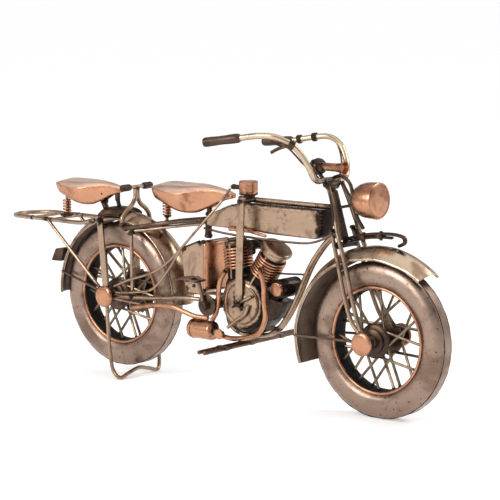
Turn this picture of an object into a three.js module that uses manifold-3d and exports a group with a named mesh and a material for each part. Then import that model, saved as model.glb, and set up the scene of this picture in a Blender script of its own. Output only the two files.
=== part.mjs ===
// Decorative copper and nickel model of an early V-twin motorcycle, welded from sheet and wire.
// Millimetres, +X forward, +Y to the rider's left, +Z up.
// The origin is on the ground, under the middle of the machine's length.
import * as THREE from 'three';
import { mergeVertices } from 'three/addons/utils/BufferGeometryUtils.js';
import Module from 'manifold-3d';

const wasm = await Module();
wasm.setup();

// ---- Driving dimensions -------------------------------------------------------------------
const GAP = 0.3;                       // clearance between pieces that touch
const WHEELBASE = 181.4;
const TYRE_RADIUS = 41.5;
const WHEEL_SEGMENTS = 32;
const REAR_LIFT = 5.7;                 // the stand holds the rear tyre this far off the ground
const FLAT_RADIUS = TYRE_RADIUS * Math.cos(Math.PI / WHEEL_SEGMENTS);
const FRONT_AXLE = new THREE.Vector3(112.6, 0, FLAT_RADIUS);
const REAR_AXLE = new THREE.Vector3(FRONT_AXLE.x - WHEELBASE, 0, TYRE_RADIUS + REAR_LIFT);
const RIM_OUTER = 28.2;
const RIM_INNER = 26.4;
const RIM_HALF_WIDTH = 4.5;
const TYRE_HALF_WIDTH = 6.4;
const TREAD_HALF_WIDTH = 3.4;
const SPOKES_PER_SIDE = 12;
const SPOKE_RADIUS = 0.6;
const HUB_FLANGE_RADIUS = 9.2;
const AXLE_RADIUS = 1.5;
const RUNNING_FIT = 0.1;                // radial clearance of the axles and the steering stem
const CAP_RADIUS = 6.2;
const FRONT_CAP_Y = 18.2;
const REAR_CAP_Y = 17.9;
const CAP_THICKNESS = 2.2;

const RAKE = THREE.MathUtils.degToRad(17);       // steering axis, leaning back
const STEER_X = 84.6;                            // where the steering axis passes STEER_Z
const STEER_Z = 104;
const BAR_TURN = THREE.MathUtils.degToRad(10.5);   // the bar is clamped turned to the left
const BAR_RADIUS = 1.35;
const GRIP_RADIUS = 2.6;
const WIRE = 1.2;                                // radius of the frame wire
const HEAD_RADIUS = 2.3;
const HEAD_BORE = 1.5;

const FENDER_CROWN = 48.5;                       // radii from the axle
const FENDER_EDGE = 44.3;
const FENDER_HALF_WIDTH = 8.8;
const FENDER_SKIN = 0.9;

const TANK_HALF_WIDTH = 6;
const TOP_TUBE_Z = 108.3;
const TOP_TUBE_RADIUS = 1.4;
const RAIL_Y = 4.6;
const DOWN_TUBE_Y = 1.35;                         // the two down tubes run side by side
const DOWN_TUBE_RADIUS = 1.2;

const ENGINE_X = 27.5;
const ENGINE_Z = 52.7;
const CRANKCASE_RADIUS = 16.4;
const CRANKCASE_HALF_WIDTH = 8;
const COVER_RADIUS = 14.4;
const CYLINDER_Y = -4;
const FIN_RADIUS = 8.3;
const BARREL_RADIUS = 6.6;
const FINS = 8;
const FIN_PITCH = 1.75;
const PIPE_RADIUS = 1.4;
const MUFFLER = { x0: -8, x1: 9.5, y: -12, z: 35.4, r: 5.3 };

const CRANK_X = 7.5;
const CRANK_Z = 50.3;
const CRANK_RADIUS = 15.4;
const CRANK_ANGLE = THREE.MathUtils.degToRad(107);
const CRANK_ARM_Y = 19.2;
const STAND_FOOT = new THREE.Vector3(-58.6, 16.4, 1.07);
const FOOT_BAR_HALF = 42;
const HALF_LENGTH = FRONT_AXLE.x + TYRE_RADIUS;  // the rack reaches as far back as the tyre forward

// ---- Finishes ------------------------------------------------------------------------------
const COPPER = { color: 0xd98f68, roughness: 0.38, metalness: 1 };
const NICKEL = { color: 0xb09c84, roughness: 0.42, metalness: 1 };
const TYRE_METAL = { color: 0xa08c80, roughness: 0.5, metalness: 1 };
const DARK = { color: 0x3a302a, roughness: 0.6, metalness: 0.8 };

// ---- Geometry helpers ----------------------------------------------------------------------
const v = (x, y, z) => new THREE.Vector3(x, y, z);
const machine = new THREE.Group();

/** Merge shared vertices, drop collapsed triangles and make the faces point outwards. */
function clean(geometry) {
  const bare = geometry.clone();
  bare.deleteAttribute('normal');
  bare.deleteAttribute('uv');
  const merged = mergeVertices(bare, 1e-4);
  const index = [...merged.index.array];
  const position = merged.attributes.position;
  const corner = (k) => new THREE.Vector3().fromBufferAttribute(position, index[k]);
  const kept = [];
  let volume = 0;
  for (let k = 0; k < index.length; k += 3) {
    const [a, b, c] = [index[k], index[k + 1], index[k + 2]];
    if (a === b || b === c || a === c) continue;
    kept.push([a, b, c]);
    volume += corner(k).dot(corner(k + 1).cross(corner(k + 2)));
  }
  if (volume < 0) kept.forEach((t) => t.reverse());
  merged.setIndex(kept.flat());
  return merged;
}

function toManifold(geometry) {
  const g = clean(geometry);
  return new wasm.Manifold(new wasm.Mesh({
    numProp: 3,
    vertProperties: new Float32Array(g.attributes.position.array),
    triVerts: new Uint32Array(g.index.array),
  }));
}

function fromManifold(solid) {
  const mesh = solid.getMesh();
  const g = new THREE.BufferGeometry();
  g.setAttribute('position', new THREE.BufferAttribute(mesh.vertProperties, 3));
  g.setIndex(new THREE.BufferAttribute(mesh.triVerts, 1));
  return g;
}

/** Weld geometries into one body, then cut others away. */
function weld(parts, cuts = []) {
  let solid = toManifold(parts[0]);
  parts.slice(1).forEach((p) => { solid = solid.add(toManifold(p)); });
  cuts.forEach((c) => { solid = solid.subtract(toManifold(c)); });
  return fromManifold(solid);
}

/** Hang a named piece on the machine. */
function piece(name, geometry, finish) {
  const material = new THREE.MeshStandardMaterial(finish);
  const mesh = new THREE.Mesh(clean(geometry), material);
  mesh.name = name;
  machine.add(mesh);
  return mesh;
}

/** A straight round bar from p to q. */
function bar(p, q, radius, sides = 8) {
  const g = new THREE.CylinderGeometry(radius, radius, p.distanceTo(q), sides);
  const along = q.clone().sub(p).normalize();
  g.applyQuaternion(new THREE.Quaternion().setFromUnitVectors(v(0, 1, 0), along));
  const middle = p.clone().add(q).multiplyScalar(0.5);
  return g.translate(middle.x, middle.y, middle.z);
}

/** A bent wire through points, drawn as a smooth curve. */
function wire(points, radius, steps, sides = 8) {
  const section = new THREE.Shape();
  for (let k = 0; k < sides; k += 1) {
    const a = (2 * Math.PI * (k + 0.5)) / sides;
    if (k === 0) section.moveTo(radius * Math.cos(a), radius * Math.sin(a));
    else section.lineTo(radius * Math.cos(a), radius * Math.sin(a));
  }
  const path = new THREE.CatmullRomCurve3(points, false, 'centripetal');
  return new THREE.ExtrudeGeometry(section, { steps, extrudePath: path });
}

/** A turned piece about the Y direction: profile points are [radius, y]. */
function turned(profile, centre, segments = 24, turn = 0) {
  const g = new THREE.LatheGeometry(profile.map(([r, y]) => new THREE.Vector2(r, y)), segments);
  return g.rotateY(turn).translate(centre.x, centre.y, centre.z);
}

/** A plain disc or drum along Y between two y values. */
const drum = (x, z, y0, y1, r, segments = 24) =>
  turned([[0, y0], [r, y0], [r, y1], [0, y1]], v(x, 0, z), segments);

/** A ring along Y, with its inner radius cut out. */
const ring = (x, z, y0, y1, inner, outer, segments = 16) =>
  turned([[inner, y0], [outer, y0], [outer, y1], [inner, y1], [inner, y0]], v(x, 0, z), segments);

const block = (x0, x1, y0, y1, z0, z1) =>
  new THREE.BoxGeometry(x1 - x0, y1 - y0, z1 - z0)
    .translate((x0 + x1) / 2, (y0 + y1) / 2, (z0 + z1) / 2);

/** A plate: an outline of [x, z] points, extruded between two y values. */
function plate(outline, y0, y1) {
  const shape = new THREE.Shape(outline.map(([x, z]) => new THREE.Vector2(x, z)));
  const g = new THREE.ExtrudeGeometry(shape, { depth: y1 - y0, bevelEnabled: false });
  return g.rotateX(Math.PI / 2).translate(0, y1, 0);
}

/** A closed skin through equal rings of points, capped flat at both ends. */
function loft(rings) {
  const n = rings[0].length;
  const vertices = rings.flat().flatMap((p) => [p.x, p.y, p.z]);
  const index = [];
  for (let r = 0; r < rings.length - 1; r += 1) {
    for (let k = 0; k < n; k += 1) {
      const a = r * n + k;
      const b = r * n + ((k + 1) % n);
      index.push(a, b, a + n, b, b + n, a + n);
    }
  }
  const cap = (ringIndex, flip) => {
    const loop = rings[ringIndex];
    const normal = v(0, 0, 0);
    loop.forEach((p, k) => normal.add(p.clone().cross(loop[(k + 1) % n])));
    const e1 = loop[1].clone().sub(loop[0]).normalize();
    const e2 = normal.normalize().clone().cross(e1);
    const flat = loop.map((p) => new THREE.Vector2(p.dot(e1), p.dot(e2)));
    THREE.ShapeUtils.triangulateShape(flat, []).forEach(([a, b, c]) => {
      const t = [a, b, c].map((k) => ringIndex * n + k);
      index.push(...(flip ? t.reverse() : t));
    });
  };
  cap(0, true);
  cap(rings.length - 1, false);
  const g = new THREE.BufferGeometry();
  g.setAttribute('position', new THREE.Float32BufferAttribute(vertices, 3));
  g.setIndex(index);
  return g;
}

/** The point of the steering axis at a height, and a turn about that axis. */
const steerPoint = (z, y = 0) => v(STEER_X - (z - STEER_Z) * Math.tan(RAKE), y, z);
const steerAxis = v(-Math.sin(RAKE), 0, Math.cos(RAKE));
function steerTurn(geometry, angle) {
  const at = steerPoint(STEER_Z);
  return geometry.translate(-at.x, -at.y, -at.z)
    .applyQuaternion(new THREE.Quaternion().setFromAxisAngle(steerAxis, angle))
    .translate(at.x, at.y, at.z);
}

/** Both sides of the machine: right is -Y, left is +Y. */
const SIDES = [['right', -1], ['left', 1]];

// ---- Wheels --------------------------------------------------------------------------------
function wheel(prefix, axle) {
  const turn = Math.PI / WHEEL_SEGMENTS;
  const side = [
    [RIM_OUTER + GAP, RIM_HALF_WIDTH], [32.5, TYRE_HALF_WIDTH], [38.4, TYRE_HALF_WIDTH - 0.6],
    [TYRE_RADIUS, TREAD_HALF_WIDTH],
  ];
  const profile = [...side.map(([r, y]) => [r, -y]), ...[...side].reverse()];
  profile.push(profile[0]);
  piece(`${prefix}_tyre`, turned(profile, axle, WHEEL_SEGMENTS, turn), TYRE_METAL);
  const rim = ring(axle.x, axle.z, -RIM_HALF_WIDTH, RIM_HALF_WIDTH, RIM_INNER, RIM_OUTER,
    WHEEL_SEGMENTS);
  piece(`${prefix}_rim`, rim, COPPER);

  const bore = AXLE_RADIUS + RUNNING_FIT;
  const steps = [[4, 10.6], [6.4, 10.6], [6.4, 7.4], [HUB_FLANGE_RADIUS, 7.4], [HUB_FLANGE_RADIUS, 4.6],
    [4, 4.6]];
  const hub = [[bore, -10.6], ...steps.map(([r, y]) => [r, -y]), ...[...steps].reverse(),
    [bore, 10.6], [bore, -10.6]];
  const parts = [turned(hub, axle, 12)];
  for (let k = 0; k < SPOKES_PER_SIDE * 2; k += 1) {
    const side = k % 2 ? 1 : -1;
    const lean = Math.floor(k / 2) % 2 ? 1 : -1;
    const a = (Math.PI * 2 * k) / (SPOKES_PER_SIDE * 2);
    const root = a - lean * THREE.MathUtils.degToRad(52);
    const reach = RIM_INNER - GAP - 0.1;
    const at = (radius, angle, y) => v(axle.x + radius * Math.cos(angle), y,
      axle.z + radius * Math.sin(angle));
    parts.push(bar(at(HUB_FLANGE_RADIUS - 1.4, root, side * 6), at(reach, a, side * 1.8),
      SPOKE_RADIUS, 4));
  }
  piece(`${prefix}_hub`, weld(parts), NICKEL);
}

function axle(name, centre, capY) {
  const parts = [drum(centre.x, centre.z, -capY, capY, AXLE_RADIUS, 12)];
  SIDES.forEach(([, s]) => {
    const outer = s * (capY + CAP_THICKNESS / 2);
    const inner = s * (capY - CAP_THICKNESS / 2);
    parts.push(drum(centre.x, centre.z, Math.min(outer, inner), Math.max(outer, inner),
      CAP_RADIUS, 24));
  });
  piece(name, weld(parts), COPPER);
}

function sprocket() {
  const { x, z } = REAR_AXLE;
  piece('rear_sprocket', ring(x, z, 11, 12, AXLE_RADIUS + RUNNING_FIT, 13, 18), DARK);
}

/**
 * A domed mudguard round an axle, between two angles from the forward direction. Towards its
 * end it moves out by the flare, and before that its edges hang lower by the tuck.
 */
function fender(centre, from, to, steps, crown = FENDER_CROWN, edge = FENDER_EDGE,
  halfWidth = FENDER_HALF_WIDTH, skin = FENDER_SKIN, flare = 0, tuck = 0) {
  const rings = [];
  const across = 2;
  for (let k = 0; k <= steps; k += 1) {
    const a = THREE.MathUtils.degToRad(from + ((to - from) * k) / steps);
    const turnOut = THREE.MathUtils.clamp((k / steps - 0.35) / 0.5, 0, 1);
    const out = flare * turnOut;
    const lip = edge - tuck * (1 - turnOut);
    const section = (inset) => {
      const points = [];
      for (let j = -across; j <= across; j += 1) {
        const t = j / across;
        const r = lip + (crown - lip) * Math.cos((t * Math.PI) / 2) - inset + out;
        const y = t * (halfWidth - inset * 0.4);
        points.push(v(centre.x + r * Math.cos(a), y, centre.z + r * Math.sin(a)));
      }
      return points;
    };
    rings.push([...section(0), ...section(skin).reverse()]);
  }
  return loft(rings);
}

// ---- Steering assembly ---------------------------------------------------------------------
function steering() {
  // stem through the head tube, with a clamp above it and a crown below it
  const top = steerPoint(121.2);
  const crownZ = 89.4;
  const crown = bar(steerPoint(crownZ, -7.6), steerPoint(crownZ, 7.6), 1.7, 10);
  const clamp = bar(steerPoint(119.8, -4.4), steerPoint(119.8, 4.4), 1.8, 10);
  const stem = bar(steerPoint(crownZ), top, HEAD_BORE - RUNNING_FIT, 12);
  piece('steering_stem', weld([stem, crown, clamp]), DARK);

  SIDES.forEach(([side, s]) => {
    const front = [v(81.4, s * 6.3, 121.6), v(86.2, s * 7.6, 109.5), v(90.6, s * 9.6, 96),
      v(96, s * 10.8, 82), v(101.6, s * 11.8, 64), v(107.6, s * 12.8, 48.6),
      v(111.6, s * 13, 43)];
    const rear = [v(86.5, s * 9.4, 97), v(91.5, s * 10.8, 82), v(97, s * 12, 64),
      v(103, s * 12.9, 50.5), v(110.6, s * 13, 43)];
    const join = bar(v(89.6, s * 9.1, 94.5), v(86.4, s * 9.3, 97.2), 1.1, 6);
    const hook = bar(v(81.4, s * 6.3, 121.4), v(79.6, s * 4.8, 120.2), 1.1, 6);
    const eye = ring(FRONT_AXLE.x, FRONT_AXLE.z, s > 0 ? 11.8 : -14.2, s > 0 ? 14.2 : -11.8,
      AXLE_RADIUS + RUNNING_FIT, 3.6, 10);
    const bore = drum(FRONT_AXLE.x, FRONT_AXLE.z, -20, 20, AXLE_RADIUS + RUNNING_FIT, 10);
    const clampRoom = bar(steerPoint(119.8, -4.4 - GAP), steerPoint(119.8, 4.4 + GAP), 1.8 + GAP, 10);
    piece(`fork_leg_${side}`, weld([wire(front, 1.1, 10, 6), wire(rear, 1.1, 8, 6), join, hook, eye],
      [bore, clampRoom]), NICKEL);
  });
  axle('front_axle', FRONT_AXLE, FRONT_CAP_Y);

  handlebar();
  headlamp();

  const guard = fender(FRONT_AXLE, 50, 200, 16, 49.6, 46, 9.2, FENDER_SKIN, 4.4, 2.8);
  const stays = SIDES.map(([, s]) => bar(v(61.4, s * 8.9, 39), v(108.6, s * 12.6, 41), 0.7, 6));
  piece('front_fender', weld([guard, ...stays]), NICKEL);
  const leaf = [v(91.5, 0, 92.6), v(101, 0, 95.4), v(112, 0, 96.8), v(121, 0, 97),
    v(126.4, 0, 95.6), v(126.6, 0, 93.4), v(122.8, 0, 91.2)];
  piece('leaf_spring', wire(leaf, 1.5, 12, 6), DARK);
}

function handlebar() {
  // each half of the bar from its middle outwards; the last span lies inside the grip
  const halves = {
    right: [v(78.2, -9, 122.6), v(78.2, -13.4, 122.4), v(77.8, -17.2, 124), v(76.6, -20.4, 129),
      v(74.4, -22.8, 134), v(71, -25.4, 139.4), v(66, -28.4, 143.2), v(60, -30.6, 145.2),
      v(50, -31, 145), v(40.5, -30.6, 143.6), v(36, -31.3, 142.9)],
    left: [v(78.2, 9, 122.6), v(78.2, 15.5, 122.4), v(77.6, 20.5, 124), v(76.2, 24, 129),
      v(74, 26, 134), v(70.8, 27.6, 139.2), v(66, 29.4, 142.6), v(60, 31, 144),
      v(50, 31, 142.8), v(39, 30.8, 140.7), v(34.4, 31.6, 140.4)],
  };
  const ends = { right: v(20.8, -34.2, 140.4), left: v(19.4, 34.2, 139.2) };
  const points = [...[...halves.right].reverse(), ...halves.left];
  const room = bar(steerPoint(119.8, -4.4 - GAP), steerPoint(119.8, 4.4 + GAP), 1.8 + GAP, 10);
  const lever = [v(68.6, -27.2, 141.6), v(64, -28.8, 139.8), v(58.6, -29.8, 137.6), v(55.6, -30, 134.6)];
  const turnedBar = steerTurn(wire(points, BAR_RADIUS, 34, 6), BAR_TURN);
  piece('handlebar', weld([turnedBar, steerTurn(wire(lever, 0.8, 6, 6), BAR_TURN)], [room]), NICKEL);
  Object.entries(halves).forEach(([side, half]) => {
    const [inner, tip] = half.slice(-2);
    const sleeve = bar(inner, ends[side], GRIP_RADIUS, 10);
    const beyond = tip.clone().addScaledVector(tip.clone().sub(inner).normalize(), 1.5);
    const hollow = weld([wire(points, BAR_RADIUS + GAP, 34, 6), bar(inner, beyond, BAR_RADIUS + GAP, 6)]);
    piece(`grip_${side}`, steerTurn(weld([sleeve], [hollow]), BAR_TURN), DARK);
  });
  const trumpet = [[0, 0], [2.1, 0], [2.1, 9], [3.2, 14], [0, 14]];
  const horn = new THREE.LatheGeometry(trumpet.map(([r, y]) => new THREE.Vector2(r, y)), 12)
    .rotateZ(-Math.PI / 2).translate(79.4, -8, 130.4);
  const bulb = new THREE.SphereGeometry(4.6, 10, 7).translate(76.4, -8, 130.2);
  piece('horn', weld([horn, bulb]), COPPER);
}

function headlamp() {
  // bowl opening forward, with a flat lens in its mouth
  const bowl = [[0, 0], [4.4, 0.5], [7, 2.4], [8.7, 5.4], [9.5, 9.4], [9.7, 15.6], [8.7, 15.6],
    [8.7, 14.4], [0, 14.4]];
  const place = (profile) => new THREE.LatheGeometry(profile.map(([r, y]) => new THREE.Vector2(r, y)), 20)
    .rotateZ(-Math.PI / 2).translate(94.6, 0, 113.7);
  piece('headlamp_bowl', place(bowl), COPPER);
  piece('headlamp_lens', place([[0, 14.7], [8.3, 14.7], [8.3, 15.2], [0, 16.2]]), COPPER);
  const bracket = [v(80.6, 0, 124), v(86, 0, 125.2), v(91, 0, 122), v(92.8, 0, 117.6),
    v(93.2, 0, 112), v(96.6, 0, 103.6), v(100.4, 0, 98.4)];
  piece('lamp_bracket', wire(bracket, 0.9, 14, 6), DARK);
}

// ---- Frame ---------------------------------------------------------------------------------
function frame() {
  const tubeEnd = STEER_X - (TOP_TUBE_Z - STEER_Z) * Math.tan(RAKE) - HEAD_RADIUS - 1;
  piece('top_tube', bar(v(16.5, 0, TOP_TUBE_Z), v(tubeEnd, 0, TOP_TUBE_Z), TOP_TUBE_RADIUS, 10), NICKEL);

  const head = bar(steerPoint(92.2), steerPoint(117.2), HEAD_RADIUS, 12);
  piece('head_tube', weld([head], [bar(steerPoint(85), steerPoint(125), HEAD_BORE, 12)]), DARK);

  SIDES.forEach(([side, s]) => {
    const y = s * DOWN_TUBE_Y;
    const down = [v(83.4, s * 1.6, 95.4), v(75.3, y, 87.7), v(66.7, y, 76.2), v(58.2, y, 59.1),
      v(51.5, y, 47.5), v(45, y, 39.4), v(37.5, y, 35), v(28, y, 33.9), v(17, y, 34.4),
      v(11, y, 38.4), v(9, y, 46.4)];
    piece(`down_tube_${side}`, wire(down, DOWN_TUBE_RADIUS, 18, 6), NICKEL);

    const rail = [v(-3.2, s * RAIL_Y, 95.4), v(-28, s * RAIL_Y, 92), v(-39, s * 7.4, 90),
      v(-46, s * 10.8, 88.6), v(-57.6, s * 11.6, 86.8)];
    piece(`seat_rail_${side}`, wire(rail, WIRE, 8, 6), DARK);

    // chain stay, two upright struts and the plate that holds the axle
    const { x, z } = REAR_AXLE;
    const y0 = s > 0 ? 13 : -14.8;
    const hanger = ring(x, z, y0, y0 + 1.8, AXLE_RADIUS + RUNNING_FIT, 3.9, 12);
    const stay = wire([v(x + 3, s * 13.7, z + 0.2), v(-38, s * 13, 49), v(-12, s * 11.2, 51.4),
      v(3.6, s * 9, 51.4)], WIRE, 6, 6);
    const flat = plate([[x - 4, z + 3], [x, z + 3], [-73, 90.4], [-77, 90.4]],
      s > 0 ? 13.3 : -14.5, s > 0 ? 14.5 : -13.3);
    const strut = bar(v(-50.6, s * 13.5, 48.4), v(-52, s * 12.8, 85), 1, 6);
    const foot = bar(v(-76.4, s * 13.9, 89.6), v(-76.4, s * 12.2, 92), 0.9, 6);
    piece(`rear_frame_${side}`, weld([hanger, stay, flat, strut, foot],
      [drum(x, z, -20, 20, AXLE_RADIUS + RUNNING_FIT, 12)]), NICKEL);
  });

  const shell = ring(CRANK_X, CRANK_Z, -8, 8, 1.9, 3.1, 16);
  piece('crank_shell', shell, DARK);

  const post = bar(v(-5.8, 0, 84.7), v(-5.2, 0, 96), 1.8);
  const bridge = bar(v(-5.2, -3, 94.8), v(-5.2, 3, 94.8), 1.3);
  piece('seat_post', weld([post, bridge]), DARK);

  const foot = (x) => bar(v(x, -FOOT_BAR_HALF, 29.6), v(x, FOOT_BAR_HALF, 29.6), 1.1, 6);
  const clips = [-24, 0, 24].map((y) => block(21.4, 28, y - 2, y + 2, 28.9, 30.4));
  piece('foot_bar', weld([foot(22.6), foot(26.6), ...clips]), DARK);

  const guard = fender(REAR_AXLE, -2, 184, 20, FENDER_CROWN, FENDER_EDGE, FENDER_HALF_WIDTH, FENDER_SKIN,
    -1.5);
  const stays = SIDES.map(([, s]) => bar(v(-111.2, s * 8.5, 57), v(-77, s * 13.2, 49.6), 0.7, 6));
  const tail = plate([[-123.4, 61.4], [-113.5, 61.8], [-110, 70], [-119.6, 69.2]], -5, 5);
  const inside = drum(REAR_AXLE.x, REAR_AXLE.z, -5.5, 5.5, FENDER_CROWN - 2.4, 32);
  piece('rear_fender', weld([guard, weld([tail], [inside]), ...stays]), NICKEL);
  const arch = fender(REAR_AXLE, 83, 106, 3, 50.6, 46.4, 10.2, 1.4);
  const noseStay = bar(v(-83, 0, 95.4), v(-84.6, 0, 98.6), 1.8);
  const tipStay = bar(v(-72, 0, 96), v(-74, 0, 103), 1.2);
  piece('rear_bridge', weld([arch, noseStay, tipStay]), DARK);
}

function tank() {
  const outline = [[-2.6, 92.8], [0, 92.2], [30, 92], [40, 91.2], [73.4, 91], [76.2, 93.4], [77.4, 100],
    [76.6, 106.4], [26, 106.4], [14, 104.4], [0, 99.2], [-2.6, 97]];
  const shape = new THREE.Shape(outline.map(([x, z]) => new THREE.Vector2(x, z)));
  const round = 1.2;
  const g = new THREE.ExtrudeGeometry(shape, {
    depth: 2 * (TANK_HALF_WIDTH - round),
    bevelSize: round,
    bevelOffset: -round,
    bevelThickness: round,
    bevelSegments: 2,
  });
  const body = g.rotateX(Math.PI / 2).translate(0, TANK_HALF_WIDTH - round, 0);
  const railRoom = SIDES.map(([, s]) => bar(v(-9, s * RAIL_Y, 95.9), v(0.6, s * RAIL_Y, 94.6),
    WIRE + GAP));
  piece('fuel_tank', weld([body], railRoom), NICKEL);

  const cup = new THREE.CylinderGeometry(5.2, 5.2, 7.6, 20).rotateX(Math.PI / 2).translate(23, 0, 114.5);
  const knob = bar(v(12.4, 0, 114.4), v(18, 0, 114.4), 1.2);
  const neck = bar(v(23, 0, TOP_TUBE_Z + TOP_TUBE_RADIUS + GAP), v(23, 0, 111), 2.4);
  piece('oil_cup', weld([cup, knob, neck]), COPPER);
  piece('shift_lever', plate([[24.6, 53], [29.2, 53], [30.6, 109.6], [26, 109.6]], -13.5, -12.4), NICKEL);
}

// ---- Engine --------------------------------------------------------------------------------
function cylinder(name, x, lean, start, headLength, capRadius) {
  // finned barrel with its head, turned about an axis that leans in the XZ plane
  const profile = [[0, 0]];
  for (let k = 0; k < FINS; k += 1) {
    const s = k * FIN_PITCH;
    profile.push([FIN_RADIUS, s], [FIN_RADIUS, s + 0.8], [BARREL_RADIUS, s + 0.9],
      [BARREL_RADIUS, s + FIN_PITCH - 0.1]);
  }
  const top = FINS * FIN_PITCH;
  const brim = top + headLength * 0.55;
  profile.push([7, top], [7, brim], [capRadius, brim + 0.4], [capRadius, top + headLength],
    [0, top + headLength]);
  const g = new THREE.LatheGeometry(profile.map(([r, s]) => new THREE.Vector2(r, s)), 14)
    .rotateX(Math.PI / 2);
  const angle = THREE.MathUtils.degToRad(lean);
  g.translate(0, 0, start).rotateY(angle).translate(x, CYLINDER_Y, ENGINE_Z);
  piece(name, g, COPPER);
}

function engine() {
  const sump = block(ENGINE_X - 9, ENGINE_X + 9, -7, 7, 36.4, 44);
  const gearcase = plate([[42, 44], [45.4, 44.6], [53, 55], [43.6, 56.4], [40, 50]], -7.6, 5);
  const drumCase = drum(ENGINE_X, ENGINE_Z, -CRANKCASE_HALF_WIDTH, CRANKCASE_HALF_WIDTH,
    CRANKCASE_RADIUS, 32);
  piece('crankcase', weld([drumCase, sump, gearcase]), DARK);

  const cover = [[0, -8.3], [COVER_RADIUS, -8.3], [COVER_RADIUS, -10.6], [COVER_RADIUS - 1.6, -11.6],
    [0, -12]];
  piece('timing_cover', turned(cover, v(ENGINE_X, 0, ENGINE_Z), 32), NICKEL);
  cylinder('front_cylinder', 26.5, 33, 18, 6, 8.8);
  cylinder('rear_cylinder', 22.3, -7, 17, 4, 5.6);

  const carb = bar(v(31, -9, 84.6), v(31, 2, 84.6), 2.8, 12);
  const inlet = bar(v(27.6, CYLINDER_Y, 84.6), v(35.2, CYLINDER_Y, 84.6), 1.5);
  piece('carburettor', weld([carb, inlet]), DARK);

  const body = drum(50.6, 62.6, -9.4, 7, 5.2, 20);
  const cap = drum(50.6, 62.6, -11.2, -9, 3.9, 20);
  piece('magneto', weld([body, cap]), COPPER);

  const { x0, x1, y, z, r } = MUFFLER;
  const silencer = new THREE.LatheGeometry([[0, 0], [r - 0.8, 0], [r, 0.8], [r, x1 - x0 - 1.4],
    [r - 1.6, x1 - x0], [0, x1 - x0]].map(([a, s]) => new THREE.Vector2(a, s)), 20)
    .rotateZ(-Math.PI / 2).translate(x0, y, z);
  const disc = drum(15, 34.9, -17.4, -15.8, 2.9, 16);
  const stub = bar(v(15, -16, 34.9), v(15, -12, 34.9), 1.3);
  piece('muffler', silencer, COPPER);
  const frontPipe = [v(42.2, -14.3, 73), v(44.6, -14, 66), v(45, -13.8, 56), v(45.6, -13.6, 46.7),
    v(41.4, -13.5, 38.6), v(33.6, -13.5, 35), v(22, -13.4, 33), v(15, -13, 33.6), v(9.9, -12.6, 34.6)];
  piece('front_exhaust', weld([wire(frontPipe, PIPE_RADIUS, 14, 6), disc, stub]), COPPER);
  const rearPipe = [v(18.2, -14.2, 70), v(14.4, -13.9, 64), v(12.8, -13.9, 53), v(11.2, -13.6, 46),
    v(7.4, -12.4, 41.2)];
  piece('rear_exhaust', wire(rearPipe, PIPE_RADIUS, 10, 6), COPPER);
  const tail = [v(5.6, -13.4, 42.4), v(-3, -14.4, 42.6), v(-10, -15.4, 44.4), v(-18, -16, 46.4),
    v(-30, -16, 46.2), v(-50, -16, 42.6)];
  piece('tail_pipe', wire(tail, 1.4, 12, 6), COPPER);
}

function boxes() {
  const sideOutline = [[-12.6, 56.6], [-10.6, 55], [-1.4, 55], [0.4, 56.4], [0.4, 83.4], [-1.6, 84.5],
    [-15.2, 79.2]];
  piece('battery_box', plate(sideOutline, -11.6, 11.6), NICKEL);
  const bow = (z) => {
    const back = [v(0.7, 11.6, z), v(0.7, -11.6, z)];
    const front = Array.from({ length: 9 }, (_, k) => v(1.4 + 3.2 * Math.sin((Math.PI * k) / 8),
      -11.6 * Math.cos((Math.PI * k) / 8), z));
    return [...back, ...front];
  };
  piece('box_front', loft([bow(57), bow(84)]), COPPER);
}

// ---- Seats and rear fittings ---------------------------------------------------------------
function saddle(name, tail, z, size) {
  // stations: [distance from the tail, half width, top, bottom], heights from z
  const stations = [[0, 4, 4.8, 3.6], [3, 7.6, 7.6, 2], [9, 10.4, 10, -0.6], [17, 11.4, 11.2, -3.6],
    [25, 10.6, 11.4, -5], [33, 7.8, 10.6, -3.6], [42, 4.6, 8.6, 0.4], [50, 3, 6.8, 3], [54, 1.2, 5.8, 3.8]];
  const rings = stations.map(([s, half, top, bottom]) => {
    const points = [];
    const spread = 8;
    for (let k = 0; k <= spread; k += 1) {
      const a = (Math.PI * k) / spread;
      const lift = Math.sin(a) ** 0.6;
      points.push(v(tail + s * size, half * size * Math.cos(a),
        z + size * (bottom + (top - bottom) * lift)));
    }
    return points;
  });
  piece(name, loft(rings), COPPER);
}

function saddleSpring(name, x, zTop, zCoilTop, zCoilBottom, zBase, reach) {
  const foot = block(x - 1.6, x + 1.6, -reach, reach, zBase, zBase + 1.4);
  const coil = bar(v(x, 0, zCoilBottom), v(x, 0, zCoilTop), 2.6, 10);
  const post = bar(v(x, 0, zBase + 0.2), v(x, 0, zTop), 1, 6);
  piece(name, weld([foot, coil, post]), COPPER);
}

function seating() {
  saddle('front_saddle', -43, 103, 1);
  saddleSpring('front_saddle_spring', -36.2, 102.6, 101.6, 94.6, 89.8, 4.8);
  saddle('rear_saddle', -118.4, 101.2, 0.88);
  saddleSpring('rear_saddle_spring', -114.6, 100.6, 98, 90.4, 88.6, 4);
}

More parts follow.
